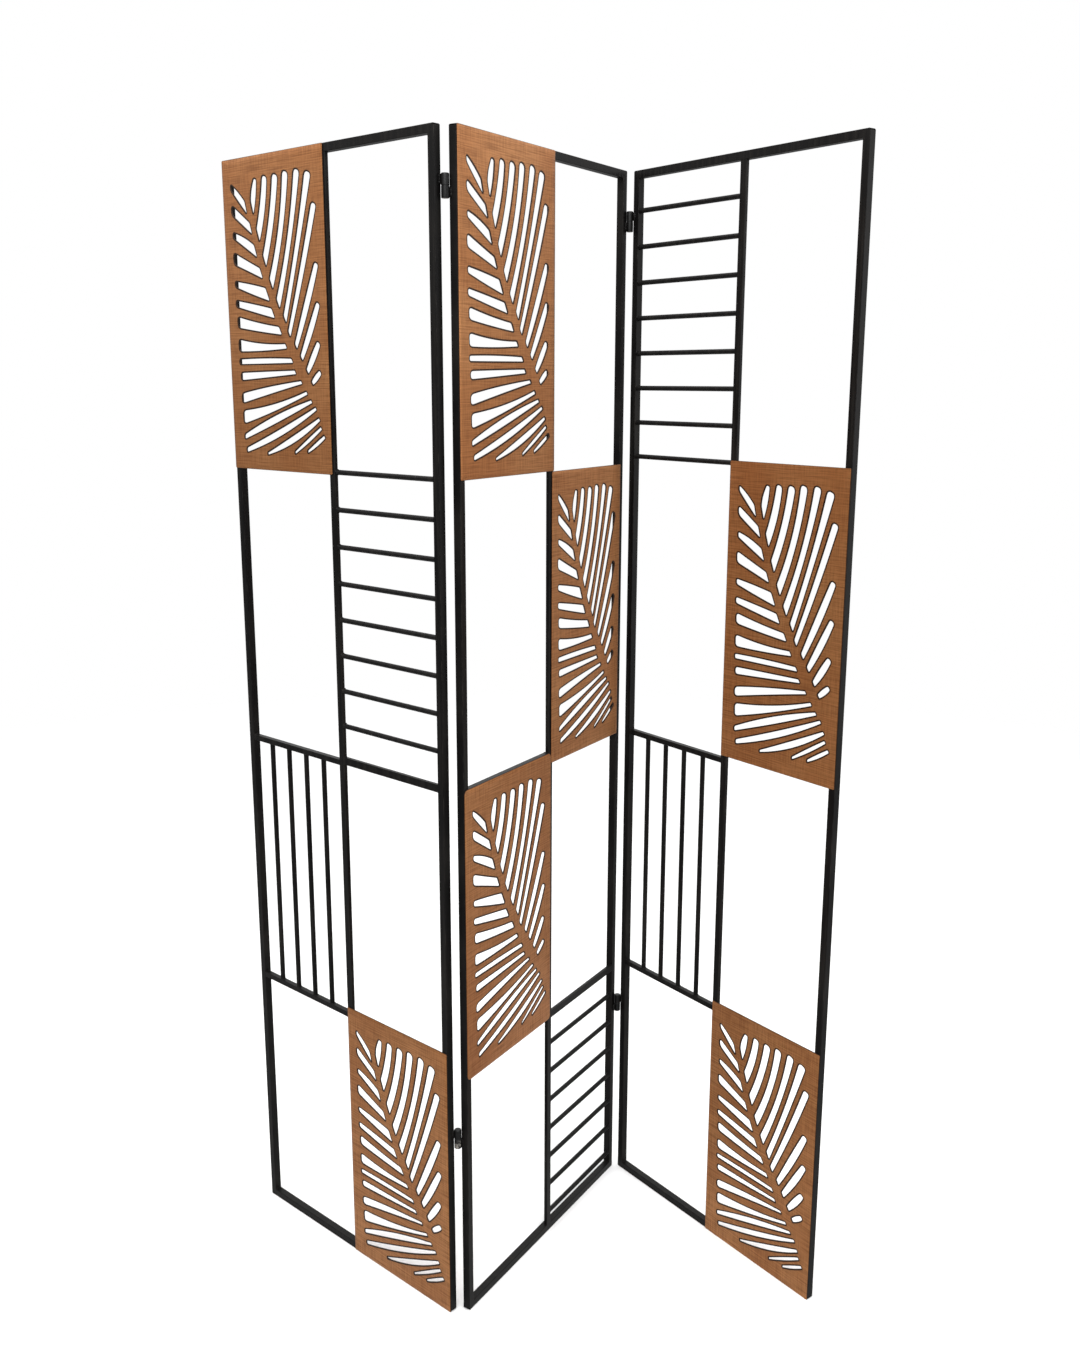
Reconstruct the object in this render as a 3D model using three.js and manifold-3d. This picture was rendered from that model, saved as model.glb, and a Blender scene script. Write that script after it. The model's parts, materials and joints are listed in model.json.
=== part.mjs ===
// Three-panel folding screen: mitred square-tube frames, pierced palm-frond plates,
// ladder rungs, bar grilles and lift-off hinges. Millimetres, +Z up, front towards -Y.
import * as THREE from "three";
import { mergeVertices } from "three/addons/utils/BufferGeometryUtils.js";
import Module from "manifold-3d";

const wasm = await Module();
wasm.setup();

// ---- Driving dimensions -------------------------------------------------------

const PANEL_WIDTH = 470;
const PANEL_HEIGHT = 1780;

const TUBE = 12; // outer side of the square frame tube
const TUBE_WALL = 1;
const FLAT_WIDTH = 12; // flat bar of the posts and transoms, seen from the front
const FLAT_DEPTH = 6;
const RAIL = 9; // square bar of the grille rails
const ROD_DIAMETER = 8;
const ROD_SIDES = 14;
const POST_SHIFT = 6; // the post's centre, right of the panel's middle

const PLATE_THICKNESS = 1.2;
const PLATE_CORNER = 2.5; // corner radius of a plate
const SOFT_PLATE_CORNER = 8; // the middle panel's third plate has rounder corners
const POST_SHOWN_BY_LEFT_PLATE = 4; // post left bare beside a left-column plate
const POST_SHOWN_BY_RIGHT_PLATE = 1;
const STILE_SHOWN_AT_HINGE = 10; // stile left bare beside the plate next to the hinges
const PLATE_DROP = 4.5; // how far the middle panel's left plate hangs below its row line

const HINGE_DIAMETER = 11;
const HINGE_HEIGHT = 32; // both knuckles together
const HINGE_SIDES = 20;
const HINGE_DOME = 1.5; // height of a knuckle's rounded end
const PIN_DIAMETER = 5;
const PIN_REACH = 12; // how far the pin stands up into the socket
const PIN_PLAY = 0.25; // radial play between pin and socket
const KNUCKLE_GAP = 0.5; // between the two knuckles
const TAB_THICKNESS = 3; // leg that joins a knuckle to its stile
const HINGE_SIDE = HINGE_DIAMETER / 2 - 0.5; // from a stile's outer side to the pin's axis
const HINGE_PROUD = HINGE_DIAMETER / 2 - 2.5; // from the face that folds shut to the pin's axis

const GAP = 0.3; // clearance between touching pieces
const OVERLAP = 0.5; // how far pieces joined into one solid run into each other

// Angles of the standing screen, in degrees.
const LEFT_FOLD = 80; // between the left and the middle panel
const RIGHT_FOLD = 69.5; // between the middle and the right panel
const MIDDLE_TURN = 52.5; // middle panel against the X axis

// Where a panel's rows of cells meet, the top line first, as shares of its height.
const LEFT_ROWS = { quarter: 0.741, half: 0.49, lower: 0.2505 };
const MIDDLE_ROWS = { quarter: 0.74, half: 0.4837, lower: 0.2298 };
const RIGHT_ROWS = { quarter: 0.7472, half: 0.4854, lower: 0.241 };

const UPPER_HINGES = PANEL_HEIGHT - 77;
const LOWER_HINGE_LEFT = 305;
const LOWER_HINGE_RIGHT = 335;

const BARS_IN_GRILLE = 4;
const GAPS_IN_LADDER = 8;
const RUNGS_IN_LADDER = 7;
const GAPS_IN_LOW_LADDER = 7.5; // the middle panel's ladder ends in half a gap

// Palm frond, drawn on a plate of this size and stretched to the plate it is cut from.
const FROND_WIDTH = 234;
const FROND_HEIGHT = 466;
const FROND_RIB = { from: 80, lean: 0.28, bend: 0.00158 }; // its slope and how that grows
const FROND_STATIONS = 4; // steps along a leaflet's outline
const LEAFLET_SPREAD = 0.6; // how far each cut stands outside the sizes below, all round

// One leaflet a line, lengths right and down from the plate's top left corner: where it
// leaves the rib (right, down), its far end (right, down), its width at the rib, half
// way and at the far end, and how far its middle bows down or right.
const LEFT_LEAFLETS = [
  [54, 72, 21, 41, 17, 13.5, 6, -0.5],
  [64, 103, 21, 74, 16, 14, 12, 0],
  [73, 136.5, 22, 111, 17.5, 13.5, 6, -1],
  [84.5, 169.5, 21, 145, 15, 14.5, 15.5, 0],
  [97.5, 201, 22, 183, 19.5, 13.5, 6.5, 0],
  [109, 229, 22, 212, 14.5, 11, 7.5, 0],
  [124.5, 255, 24, 240, 11.5, 12, 14.5, 1],
  [136.5, 278, 24, 275, 6, 9.5, 16.5, 2],
  [149.5, 299.5, 24, 300, 5.5, 6.5, 5.5, -0.5],
  [156, 316.5, 26, 322.5, 4.5, 7.2, 9.5, 0],
  [169.5, 331.5, 26, 356, 3.2, 9, 13, -1],
  [181, 347, 27.5, 385, 3.4, 8.5, 18.5, 3],
  [191, 359.5, 28, 415.5, 3, 9.3, 5.5, -1.5],
  [200.5, 370, 32, 436, 3, 8.3, 5.2, 3.5],
  [207.5, 385.5, 84, 440, 3, 8.3, 1.6, 3.5],
  [211, 398.5, 150, 436, 2.7, 4.2, 2, 0.5],
  [218, 411, 180, 433.5, 3, 4.2, 2, 0.5],
];
const RIGHT_LEAFLETS = [
  [70, 73.5, 79, 34.5, 19, 12.5, 5, 0],
  [81.5, 113.5, 101.5, 32.5, 19, 13.5, 10, 3],
  [94.5, 151.5, 126, 32.5, 17, 12.5, 12, 4],
  [108, 185.5, 149.5, 30.5, 16, 11, 12, 6],
  [122.5, 215, 175.5, 30.5, 14.5, 9.5, 12, 5],
  [137, 238, 200, 36, 11.5, 9, 13, 2],
  [146, 260, 211, 80, 8.5, 9.5, 10, 1.5],
  [160.5, 278, 212.5, 163, 8, 11, 8, 1],
  [172.5, 295.5, 213.5, 219, 7.5, 10.5, 7.5, 1],
  [185, 315, 212, 275, 6.5, 10, 7, 0.5],
  [195.5, 332, 213.5, 317, 4.5, 7.5, 5, 0],
];

// ---- Finishes -------------------------------------------------------------------

const FINISH = {
  frame: { color: 0x1c1b1a, roughness: 0.5, metalness: 0.6 },
  plate: { color: 0x9a6238, roughness: 0.45, metalness: 0.7 },
  hinge: { color: 0x3a3835, roughness: 0.4, metalness: 0.9 },
};

// ---- Small helpers --------------------------------------------------------------

const radians = THREE.MathUtils.degToRad;

function piece(name, geometry, finish) {
  const mesh = new THREE.Mesh(geometry, new THREE.MeshStandardMaterial(FINISH[finish]));
  mesh.name = name;
  return mesh;
}

function placed(mesh, x, y, z) {
  mesh.position.set(x, y, z);
  return mesh;
}

// A closed three.js geometry as a manifold-3d solid.
function solid(geometry) {
  const bare = geometry.clone();
  bare.deleteAttribute("normal");
  bare.deleteAttribute("uv");
  const merged = mergeVertices(bare, 1e-4);
  return new wasm.Manifold(
    new wasm.Mesh({
      numProp: 3,
      vertProperties: merged.attributes.position.array,
      triVerts: new Uint32Array(merged.index.array),
    }),
  );
}

function geometryOf(body) {
  const mesh = body.getMesh();
  return new THREE.BufferGeometry()
    .setAttribute("position", new THREE.BufferAttribute(mesh.vertProperties, 3))
    .setIndex(new THREE.BufferAttribute(mesh.triVerts, 1))
    .toNonIndexed();
}

function joined(geometries) {
  return geometryOf(geometries.map(solid).reduce((sum, next) => sum.add(next)));
}

// ---- Frame pieces ---------------------------------------------------------------

// A square tube along +X, mitred at both ends. Its long side faces -Z.
function mitredTube(length) {
  const outer = new THREE.Shape([
    new THREE.Vector2(0, 0),
    new THREE.Vector2(TUBE, 0),
    new THREE.Vector2(TUBE, TUBE),
    new THREE.Vector2(0, TUBE),
  ]);
  const near = TUBE_WALL;
  const far = TUBE - TUBE_WALL;
  outer.holes.push(
    new THREE.Path([
      new THREE.Vector2(near, near),
      new THREE.Vector2(near, far),
      new THREE.Vector2(far, far),
      new THREE.Vector2(far, near),
    ]),
  );
  const tube = new THREE.ExtrudeGeometry(outer, { depth: length, bevelEnabled: false });
  const setback = GAP / Math.SQRT2;
  const points = tube.attributes.position;
  for (let i = 0; i < points.count; i++) {
    const cut = points.getY(i) + setback;
    const along = points.getZ(i) > length / 2 ? length - cut : cut;
    points.setXYZ(i, along, points.getX(i), points.getY(i));
  }
  tube.computeVertexNormals();
  return tube;
}

function frameTubes(side) {
  const bottom = piece(`${side}_bottom_rail`, mitredTube(PANEL_WIDTH), "frame");
  const top = piece(`${side}_top_rail`, mitredTube(PANEL_WIDTH), "frame");
  top.rotation.y = Math.PI;
  placed(top, PANEL_WIDTH, 0, PANEL_HEIGHT);
  const leftStile = piece(`${side}_stile_left`, mitredTube(PANEL_HEIGHT), "frame");
  leftStile.rotation.y = Math.PI / 2;
  placed(leftStile, 0, 0, PANEL_HEIGHT);
  const rightStile = piece(`${side}_stile_right`, mitredTube(PANEL_HEIGHT), "frame");
  rightStile.rotation.y = -Math.PI / 2;
  placed(rightStile, PANEL_WIDTH, 0, 0);
  return [bottom, top, leftStile, rightStile];
}

// Clear width of the two columns of a panel, from left to right.
const POST_CENTRE = PANEL_WIDTH / 2 + POST_SHIFT;
const POST_LEFT = POST_CENTRE - FLAT_WIDTH / 2;
const POST_RIGHT = POST_CENTRE + FLAT_WIDTH / 2;
const COLUMN = {
  left: { from: TUBE + GAP, to: POST_LEFT - GAP },
  right: { from: POST_RIGHT + GAP, to: PANEL_WIDTH - TUBE - GAP },
};

function post(side) {
  const height = PANEL_HEIGHT - 2 * (TUBE + GAP);
  const bar = new THREE.BoxGeometry(FLAT_WIDTH, FLAT_DEPTH, height);
  return placed(piece(`${side}_post`, bar, "frame"), POST_CENTRE, FLAT_DEPTH / 2, PANEL_HEIGHT / 2);
}

// A bar across one column with its middle at the height z.
function transom(name, column, z, high = FLAT_WIDTH, deep = FLAT_DEPTH) {
  const { from, to } = COLUMN[column];
  const bar = new THREE.BoxGeometry(to - from, deep, high);
  return placed(piece(name, bar, "frame"), (from + to) / 2, deep / 2, z);
}

function rung(name, column, z) {
  const { from, to } = COLUMN[column];
  const radius = ROD_DIAMETER / 2;
  const rod = new THREE.CylinderGeometry(radius, radius, to - from, ROD_SIDES);
  rod.rotateZ(Math.PI / 2);
  return placed(piece(name, rod, "frame"), (from + to) / 2, radius, z);
}

// Rungs numbered downwards, the first one a pitch below the height top.
function ladder(side, column, top, pitch, count) {
  return Array.from({ length: count }, (_, i) =>
    rung(`${side}_rung_${i + 1}`, column, top - (i + 1) * pitch),
  );
}

// Two rails with upright rods between them, welded into one piece.
function grille(name, column, upper, lower) {
  const { from, to } = COLUMN[column];
  const height = upper - lower - RAIL + 2 * OVERLAP;
  const shapes = [upper, lower].map((z) =>
    new THREE.BoxGeometry(to - from, RAIL, RAIL).translate((from + to) / 2, RAIL / 2, z),
  );
  const pitch = (to - from) / (BARS_IN_GRILLE + 1);
  for (let i = 1; i <= BARS_IN_GRILLE; i++) {
    const radius = ROD_DIAMETER / 2;
    const rod = new THREE.CylinderGeometry(radius, radius, height, ROD_SIDES);
    rod.rotateX(Math.PI / 2);
    shapes.push(rod.translate(from + i * pitch, RAIL / 2, (upper + lower) / 2));
  }
  return piece(name, joined(shapes), "frame");
}

// ---- Palm plates ----------------------------------------------------------------

// Outline of a leaflet: a bowed centre line with a width set off on both sides of it.
// The width runs along the rib at the root, and upright (left of the rib) or square to
// the leaflet (right of the rib) at the far end.
function leaflet([rootX, rootY, endX, endY, rootWidth, midWidth, endWidth, bow], onLeft) {
  const root = new THREE.Vector2(rootX, rootY);
  const end = new THREE.Vector2(endX, endY);
  const ribSlope = FROND_RIB.lean + FROND_RIB.bend * (rootY - FROND_RIB.from);
  const alongRib = new THREE.Vector2(ribSlope, 1).normalize();
  const chord = end.clone().sub(root).normalize();
  root.addScaledVector(chord, -LEAFLET_SPREAD);
  end.addScaledVector(chord, LEAFLET_SPREAD);
  const square = new THREE.Vector2(-chord.y, chord.x).multiplyScalar(onLeft ? -1 : 1);
  const middle = root.clone().add(end).multiplyScalar(0.5).addScaledVector(square, 2 * bow);
  const line = new THREE.QuadraticBezierCurve(root, middle, end);
  const farAcross = onLeft ? new THREE.Vector2(0, 1) : square;
  const one = [];
  const other = [];
  for (let i = 0; i <= FROND_STATIONS; i++) {
    const t = i / FROND_STATIONS;
    const across = alongRib.clone().lerp(farAcross, t).normalize();
    const width =
      rootWidth * (1 - t) * (1 - 2 * t) + 4 * midWidth * t * (1 - t) + endWidth * t * (2 * t - 1);
    const centre = line.getPoint(t);
    const reach = width / 2 + LEAFLET_SPREAD;
    one.push(centre.clone().addScaledVector(across, reach));
    other.unshift(centre.clone().addScaledVector(across, -reach));
  }
  return one.concat(other);
}

const LEAFLET_OUTLINES = [
  ...LEFT_LEAFLETS.map((sizes) => leaflet(sizes, true)),
  ...RIGHT_LEAFLETS.map((sizes) => leaflet(sizes, false)),
];

// A plate with its lower left corner at the origin of its own shape.
function palmShape(width, height, corner) {
  const shape = new THREE.Shape();
  shape.absarc(width - corner, corner, corner, -Math.PI / 2, 0);
  shape.absarc(width - corner, height - corner, corner, 0, Math.PI / 2);
  shape.absarc(corner, height - corner, corner, Math.PI / 2, Math.PI);
  shape.absarc(corner, corner, corner, Math.PI, 1.5 * Math.PI);
  const stretchX = width / FROND_WIDTH;
  const stretchY = height / FROND_HEIGHT;
  for (const outline of LEAFLET_OUTLINES)
    shape.holes.push(
      new THREE.Path(
        outline.map((p) => new THREE.Vector2(p.x * stretchX, height - p.y * stretchY)),
      ),
    );
  return shape;
}

// A palm plate in front of the frame, given by its edges on the panel.
function palmPlate(name, { left, right, bottom, top }, corner = PLATE_CORNER) {
  const shape = palmShape(right - left, top - bottom, corner);
  const sheet = new THREE.ExtrudeGeometry(shape, {
    depth: PLATE_THICKNESS,
    bevelEnabled: false,
    curveSegments: 3,
  });
  sheet.rotateX(Math.PI / 2);
  return placed(piece(name, sheet, "plate"), left, -GAP, bottom);
}

// Left and right edges of a plate in each column of a panel.
const LEFT_PLATE = { left: 0, right: POST_RIGHT - POST_SHOWN_BY_LEFT_PLATE };
const RIGHT_PLATE = { left: POST_LEFT + POST_SHOWN_BY_RIGHT_PLATE, right: PANEL_WIDTH };

// ---- Hinges ---------------------------------------------------------------------

const KNUCKLE = (HINGE_HEIGHT - KNUCKLE_GAP) / 2;

// Leg from a knuckle on the Z axis to a stile's side, which it stops a gap short of.
function hingeTab(towards, faceSide) {
  const length = HINGE_SIDE - GAP;
  const tab = new THREE.BoxGeometry(length, TAB_THICKNESS, KNUCKLE - 2 * HINGE_DOME);
  const y = faceSide * (HINGE_PROUD + TAB_THICKNESS / 2);
  return tab.translate((towards * length) / 2, y, 0);
}

function lathe(profile) {
  const turned = new THREE.LatheGeometry(
    profile.map(([r, z]) => new THREE.Vector2(r, z)),
    HINGE_SIDES,
  );
  return turned.rotateX(Math.PI / 2);
}

// Lower half: a knuckle whose fixed pin stands up out of it.
function pinHalf(name, z, towards, faceSide) {
  const r = HINGE_DIAMETER / 2;
  const pin = PIN_DIAMETER / 2;
  const half = KNUCKLE / 2;
  const body = lathe([
    [0, -half],
    [r - HINGE_DOME, -half],
    [r, -half + HINGE_DOME],
    [r, half],
    [pin, half],
    [pin, half + PIN_REACH - 1],
    [pin - 1, half + PIN_REACH],
    [0, half + PIN_REACH],
  ]);
  const mesh = piece(name, joined([body, hingeTab(towards, faceSide)]), "hinge");
  return placed(mesh, 0, 0, z - (KNUCKLE + KNUCKLE_GAP) / 2);
}

// Upper half: a knuckle with a blind socket that drops over the pin.
function socketHalf(name, z, towards, faceSide) {
  const r = HINGE_DIAMETER / 2;
  const bore = PIN_DIAMETER / 2 + PIN_PLAY;
  const half = KNUCKLE / 2;
  const roof = -half + PIN_REACH + 1;
  const body = lathe([
    [0, roof],
    [bore, roof],
    [bore, -half],
    [r, -half],
    [r, half - HINGE_DOME],
    [r - HINGE_DOME, half],
    [0, half],
  ]);
  const leg = solid(hingeTab(towards, faceSide));
  const clear = new THREE.CylinderGeometry(bore, bore, PIN_REACH, HINGE_SIDES);
  clear.rotateX(Math.PI / 2).translate(0, 0, -half + PIN_REACH / 2);
  const whole = solid(body).add(leg.subtract(solid(clear)));
  return placed(piece(name, geometryOf(whole), "hinge"), 0, 0, z + (KNUCKLE + KNUCKLE_GAP) / 2);
}

// ---- Panels ---------------------------------------------------------------------

function rowHeights(shares) {
  return Object.fromEntries(
    Object.entries(shares).map(([line, share]) => [line, share * PANEL_HEIGHT]),
  );
}

// Each panel has its front lower left corner at the origin, X along it and Y to its back.
function leftPanel() {
  const { quarter, half, lower } = rowHeights(LEFT_ROWS);
  const side = "left";
  const rowPitch = (quarter - half) / GAPS_IN_LADDER;
  return [
    ...frameTubes(side),
    post(side),
    rung("left_quarter_rod", "right", quarter),
    ...ladder(side, "right", quarter, rowPitch, RUNGS_IN_LADDER),
    transom("left_transom", "right", half),
    grille("left_grille", "left", half - RAIL / 2, lower - RAIL),
    palmPlate("left_palm_plate_top", {
      ...LEFT_PLATE,
      bottom: quarter - ROD_DIAMETER / 2,
      top: PANEL_HEIGHT,
    }),
    palmPlate("left_palm_plate_bottom", {
      ...RIGHT_PLATE,
      bottom: 0,
      top: lower + FLAT_WIDTH / 2,
    }),
  ];
}

function middlePanel() {
  const { quarter, half, lower } = rowHeights(MIDDLE_ROWS);
  const side = "middle";
  const rowPitch = (lower - TUBE / 2) / GAPS_IN_LOW_LADDER;
  return [
    ...frameTubes(side),
    post(side),
    transom("middle_thin_rail", "left", half + RAIL / 2, RAIL, RAIL),
    transom("middle_transom", "right", lower),
    ...ladder(side, "right", lower, rowPitch, RUNGS_IN_LADDER),
    palmPlate("middle_palm_plate_top", {
      left: 0,
      right: POST_RIGHT,
      bottom: quarter + GAP / 2,
      top: PANEL_HEIGHT,
    }),
    palmPlate("middle_palm_plate_right", {
      left: POST_CENTRE + GAP / 2,
      right: PANEL_WIDTH - STILE_SHOWN_AT_HINGE,
      bottom: half - RAIL,
      top: quarter - GAP / 2,
    }),
    palmPlate(
      "middle_palm_plate_left",
      { left: 0, right: POST_CENTRE - GAP / 2, bottom: lower - PLATE_DROP, top: half + RAIL },
      SOFT_PLATE_CORNER,
    ),
  ];
}

function rightPanel() {
  const { quarter, half, lower } = rowHeights(RIGHT_ROWS);
  const side = "right";
  const rowPitch = (PANEL_HEIGHT - TUBE / 2 - quarter) / GAPS_IN_LADDER;
  return [
    ...frameTubes(side),
    post(side),
    ...ladder(side, "left", PANEL_HEIGHT - TUBE / 2, rowPitch, RUNGS_IN_LADDER),
    rung("right_quarter_rod", "left", quarter),
    grille("right_grille", "left", half - RAIL, lower - RAIL),
    palmPlate("right_palm_plate_upper", {
      ...RIGHT_PLATE,
      bottom: half,
      top: quarter + ROD_DIAMETER / 2,
    }),
    palmPlate("right_palm_plate_bottom", {
      ...RIGHT_PLATE,
      bottom: 0,
      top: lower + FLAT_WIDTH / 2,
    }),
  ];
}

// ---- Assembly -------------------------------------------------------------------

// The left pins stand behind the panels and the right pins in front of them, so the
// screen folds like a Z. Each pivot is a group on its pin's axis.
const middle = new THREE.Group().add(...middlePanel());
middle.rotation.z = radians(MIDDLE_TURN);

const backPin = TUBE + HINGE_PROUD;
const leftPivot = new THREE.Group();
leftPivot.position.set(-HINGE_SIDE, backPin, 0);
leftPivot.rotation.z = radians(LEFT_FOLD - 180);
const left = new THREE.Group().add(...leftPanel());
left.position.set(-PANEL_WIDTH - HINGE_SIDE, -backPin, 0);
leftPivot.add(left);

const rightPivot = new THREE.Group();
rightPivot.position.set(PANEL_WIDTH + HINGE_SIDE, -HINGE_PROUD, 0);
rightPivot.rotation.z = radians(RIGHT_FOLD - 180);
const right = new THREE.Group().add(...rightPanel());
right.position.set(HINGE_SIDE, HINGE_PROUD, 0);
rightPivot.add(right);

// Hinge halves on the middle panel's side stand on the same axes as the pivots.
const leftSeat = new THREE.Group();
leftSeat.position.copy(leftPivot.position);
const rightSeat = new THREE.Group();
rightSeat.position.copy(rightPivot.position);

for (const [place, z] of [["upper", UPPER_HINGES], ["lower", LOWER_HINGE_LEFT]]) {
  leftSeat.add(pinHalf(`left_hinge_${place}_pin`, z, 1, -1));
  leftPivot.add(socketHalf(`left_hinge_${place}_socket`, z, -1, -1));
}
for (const [place, z] of [["upper", UPPER_HINGES], ["lower", LOWER_HINGE_RIGHT]]) {
  rightSeat.add(pinHalf(`right_hinge_${place}_pin`, z, -1, 1));
  rightPivot.add(socketHalf(`right_hinge_${place}_socket`, z, 1, 1));
}

middle.add(leftPivot, rightPivot, leftSeat, rightSeat);

// The origin is the middle of the footprint, on the floor.
const screen = new THREE.Group().add(middle);
const footprint = new THREE.Box3().setFromObject(screen, true).getCenter(new THREE.Vector3());
middle.position.set(-footprint.x, -footprint.y, 0);

export default screen;
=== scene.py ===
"""Looks of a three-panel folding screen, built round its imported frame.

Each panel stands in its own upright plane. A panel's shapes are worked out in millimetres in that
plane (u along the panel, w from its front to its back, z up) and then carried to the row frame.
"""

import json
import logging
import math
from collections.abc import Sequence
from dataclasses import dataclass, field
from enum import Enum

import bmesh
import bpy
import numpy as np
from mathutils import Matrix, Vector
from mathutils.geometry import delaunay_2d_cdt
from numpy.typing import NDArray


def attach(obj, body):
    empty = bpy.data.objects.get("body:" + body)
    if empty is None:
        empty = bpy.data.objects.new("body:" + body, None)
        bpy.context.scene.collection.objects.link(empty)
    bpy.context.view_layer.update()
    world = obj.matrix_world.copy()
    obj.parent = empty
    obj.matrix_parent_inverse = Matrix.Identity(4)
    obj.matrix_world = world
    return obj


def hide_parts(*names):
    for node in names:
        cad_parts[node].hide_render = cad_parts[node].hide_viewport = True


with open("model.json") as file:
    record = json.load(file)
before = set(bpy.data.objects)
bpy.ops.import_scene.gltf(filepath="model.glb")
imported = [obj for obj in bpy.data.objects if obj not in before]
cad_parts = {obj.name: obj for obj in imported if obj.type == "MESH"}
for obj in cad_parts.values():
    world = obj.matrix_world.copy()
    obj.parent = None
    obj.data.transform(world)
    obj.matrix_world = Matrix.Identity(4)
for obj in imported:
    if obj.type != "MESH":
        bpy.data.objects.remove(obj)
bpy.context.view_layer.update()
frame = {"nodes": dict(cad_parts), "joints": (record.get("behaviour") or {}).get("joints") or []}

Array = NDArray[np.float64]
MM = 0.001
log = logging.getLogger("folding_screen")


class Side(Enum):
    """The three panels, seen from the front."""

    LEFT = "left"
    MIDDLE = "middle"
    RIGHT = "right"

    @property
    def body(self) -> str:
        """Name of the CAD body that the panel is."""
        return f"{self.value}_panel"


class Slot(Enum):
    """The record's material slots."""

    FRAME = "frame"
    PLATE = "plate"
    HINGE = "hinge"


# ---- Panels' planes --------------------------------------------------------------------------


def node_points(node: str) -> Array:
    """Points of a CAD node in the row frame, in millimetres.

    Args:
        node: Name of the CAD node.

    Returns:
        Its points, one a row.
    """
    mesh = frame["nodes"][node].data
    flat = np.empty(len(mesh.vertices) * 3, np.float32)
    mesh.vertices.foreach_get("co", flat)
    return flat.reshape(-1, 3).astype(float) / MM


@dataclass(frozen=True)
class Extent:
    """Box of a CAD node in its panel's plane, in millimetres: low and high (u, w, z)."""

    low: Array
    high: Array

    @property
    def middle(self) -> Array:
        """Middle of the box."""
        return (self.low + self.high) / 2


@dataclass(frozen=True)
class PanelPlane:
    """Upright plane of one panel, with its origin at the panel's front lower left corner."""

    origin: Array
    along: Array
    back: Array
    width: float
    height: float
    depth: float

    @classmethod
    def of(cls, side: Side) -> "PanelPlane":
        """Reads the plane off the panel's frame tubes.

        The bottom rail's longest direction in plan is the first principal axis of its points, and
        the outer faces of the two stiles give the origin and the width.

        Args:
            side: The panel.

        Returns:
            Its plane.
        """
        rail = node_points(f"{side.value}_bottom_rail")
        plan = rail[:, :2]
        along = np.linalg.svd(plan - plan.mean(0))[2][0]
        along = np.append(along * np.sign(along[0]), 0.0)
        back = np.array([-along[1], along[0], 0.0])
        stiles = [node_points(f"{side.value}_stile_{end}") for end in ("left", "right")]
        u = np.concatenate(stiles) @ along
        w = rail @ back
        top = node_points(f"{side.value}_top_rail")[:, 2].max()
        origin = along * u.min() + back * w.min()
        return cls(origin, along, back, np.ptp(u), top, np.ptp(w))

    @property
    def axes(self) -> Array:
        """Directions of u, w and z in the row frame, one a row."""
        return np.stack([self.along, self.back, [0.0, 0.0, 1.0]])

    def local(self, points: Array) -> Array:
        """Points of the row frame, in millimetres, as (u, w, z)."""
        return (points - self.origin) @ self.axes.T

    def world(self, points: Array) -> Array:
        """Points (u, w, z) as places in the row frame, in metres."""
        return (self.origin + points @ self.axes) * MM

    def extent(self, node: str) -> Extent:
        """Box of a CAD node in this plane."""
        points = self.local(node_points(node))
        return Extent(points.min(0), points.max(0))


# ---- Surfaces --------------------------------------------------------------------------------


@dataclass
class Shell:
    """One closed surface in a panel's plane, with its point attributes by name."""

    points: Array
    faces: list[Array]
    marks: dict[str, Array] = field(default_factory=dict)


def grid_quads(rows: int, columns: int, ring: bool = False) -> Array:
    """Faces of a grid of points stored row by row, closed round its columns.

    Args:
        rows: Rows of points.
        columns: Points in a row.
        ring: Joins the last row to the first as well.

    Returns:
        Four point numbers a face: the point, its neighbour in the row, and the two of the next row.
    """
    row = np.arange(rows if ring else rows - 1)[:, None]
    column = np.arange(columns)[None, :]
    beside = (column + 1) % columns
    below = (row + 1) % rows
    corners = [
        row * columns + column,
        row * columns + beside,
        below * columns + beside,
        below * columns + column,
    ]
    return np.stack(corners, -1).reshape(-1, 4)


def tube(rings: Array, marks: dict[str, Array] | None = None) -> Shell:
    """A closed surface through a row of closed rings, with a face across each end.

    Args:
        rings: Points by ring and place in the ring, (rings, around, 3).
        marks: Point attributes by name, each of (rings, around).

    Returns:
        The surface.
    """
    count, around = rings.shape[:2]
    caps = np.stack([np.arange(around)[::-1], (count - 1) * around + np.arange(around)])
    flat = {name: values.reshape(-1) for name, values in (marks or {}).items()}
    return Shell(rings.reshape(-1, 3), [grid_quads(count, around), caps], flat)


def turned(centre: Array, axis: Array, along: Array, radius: Array, sides: int = 32) -> Shell:
    """A surface of revolution.

    A point is centre + axis * along + radius * (cos a * one + sin a * other), where one and other
    are square to the axis and a runs round it.

    Args:
        centre: Where along is 0.
        axis: Unit direction of the axis.
        along: Distance of each ring from the centre.
        radius: Radius of each ring, (rings,) or (rings, sides).
        sides: Points in a ring.

    Returns:
        The surface.
    """
    one = np.roll(axis, 1)
    other = np.cross(axis, one)
    angle = np.linspace(0, 2 * math.pi, sides, endpoint=False)
    radius = radius[:, None] if radius.ndim == 1 else radius
    spoke = np.cos(angle)[:, None] * one + np.sin(angle)[:, None] * other
    rings = centre + along[:, None, None] * axis + radius[..., None] * spoke
    return tube(rings)


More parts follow.
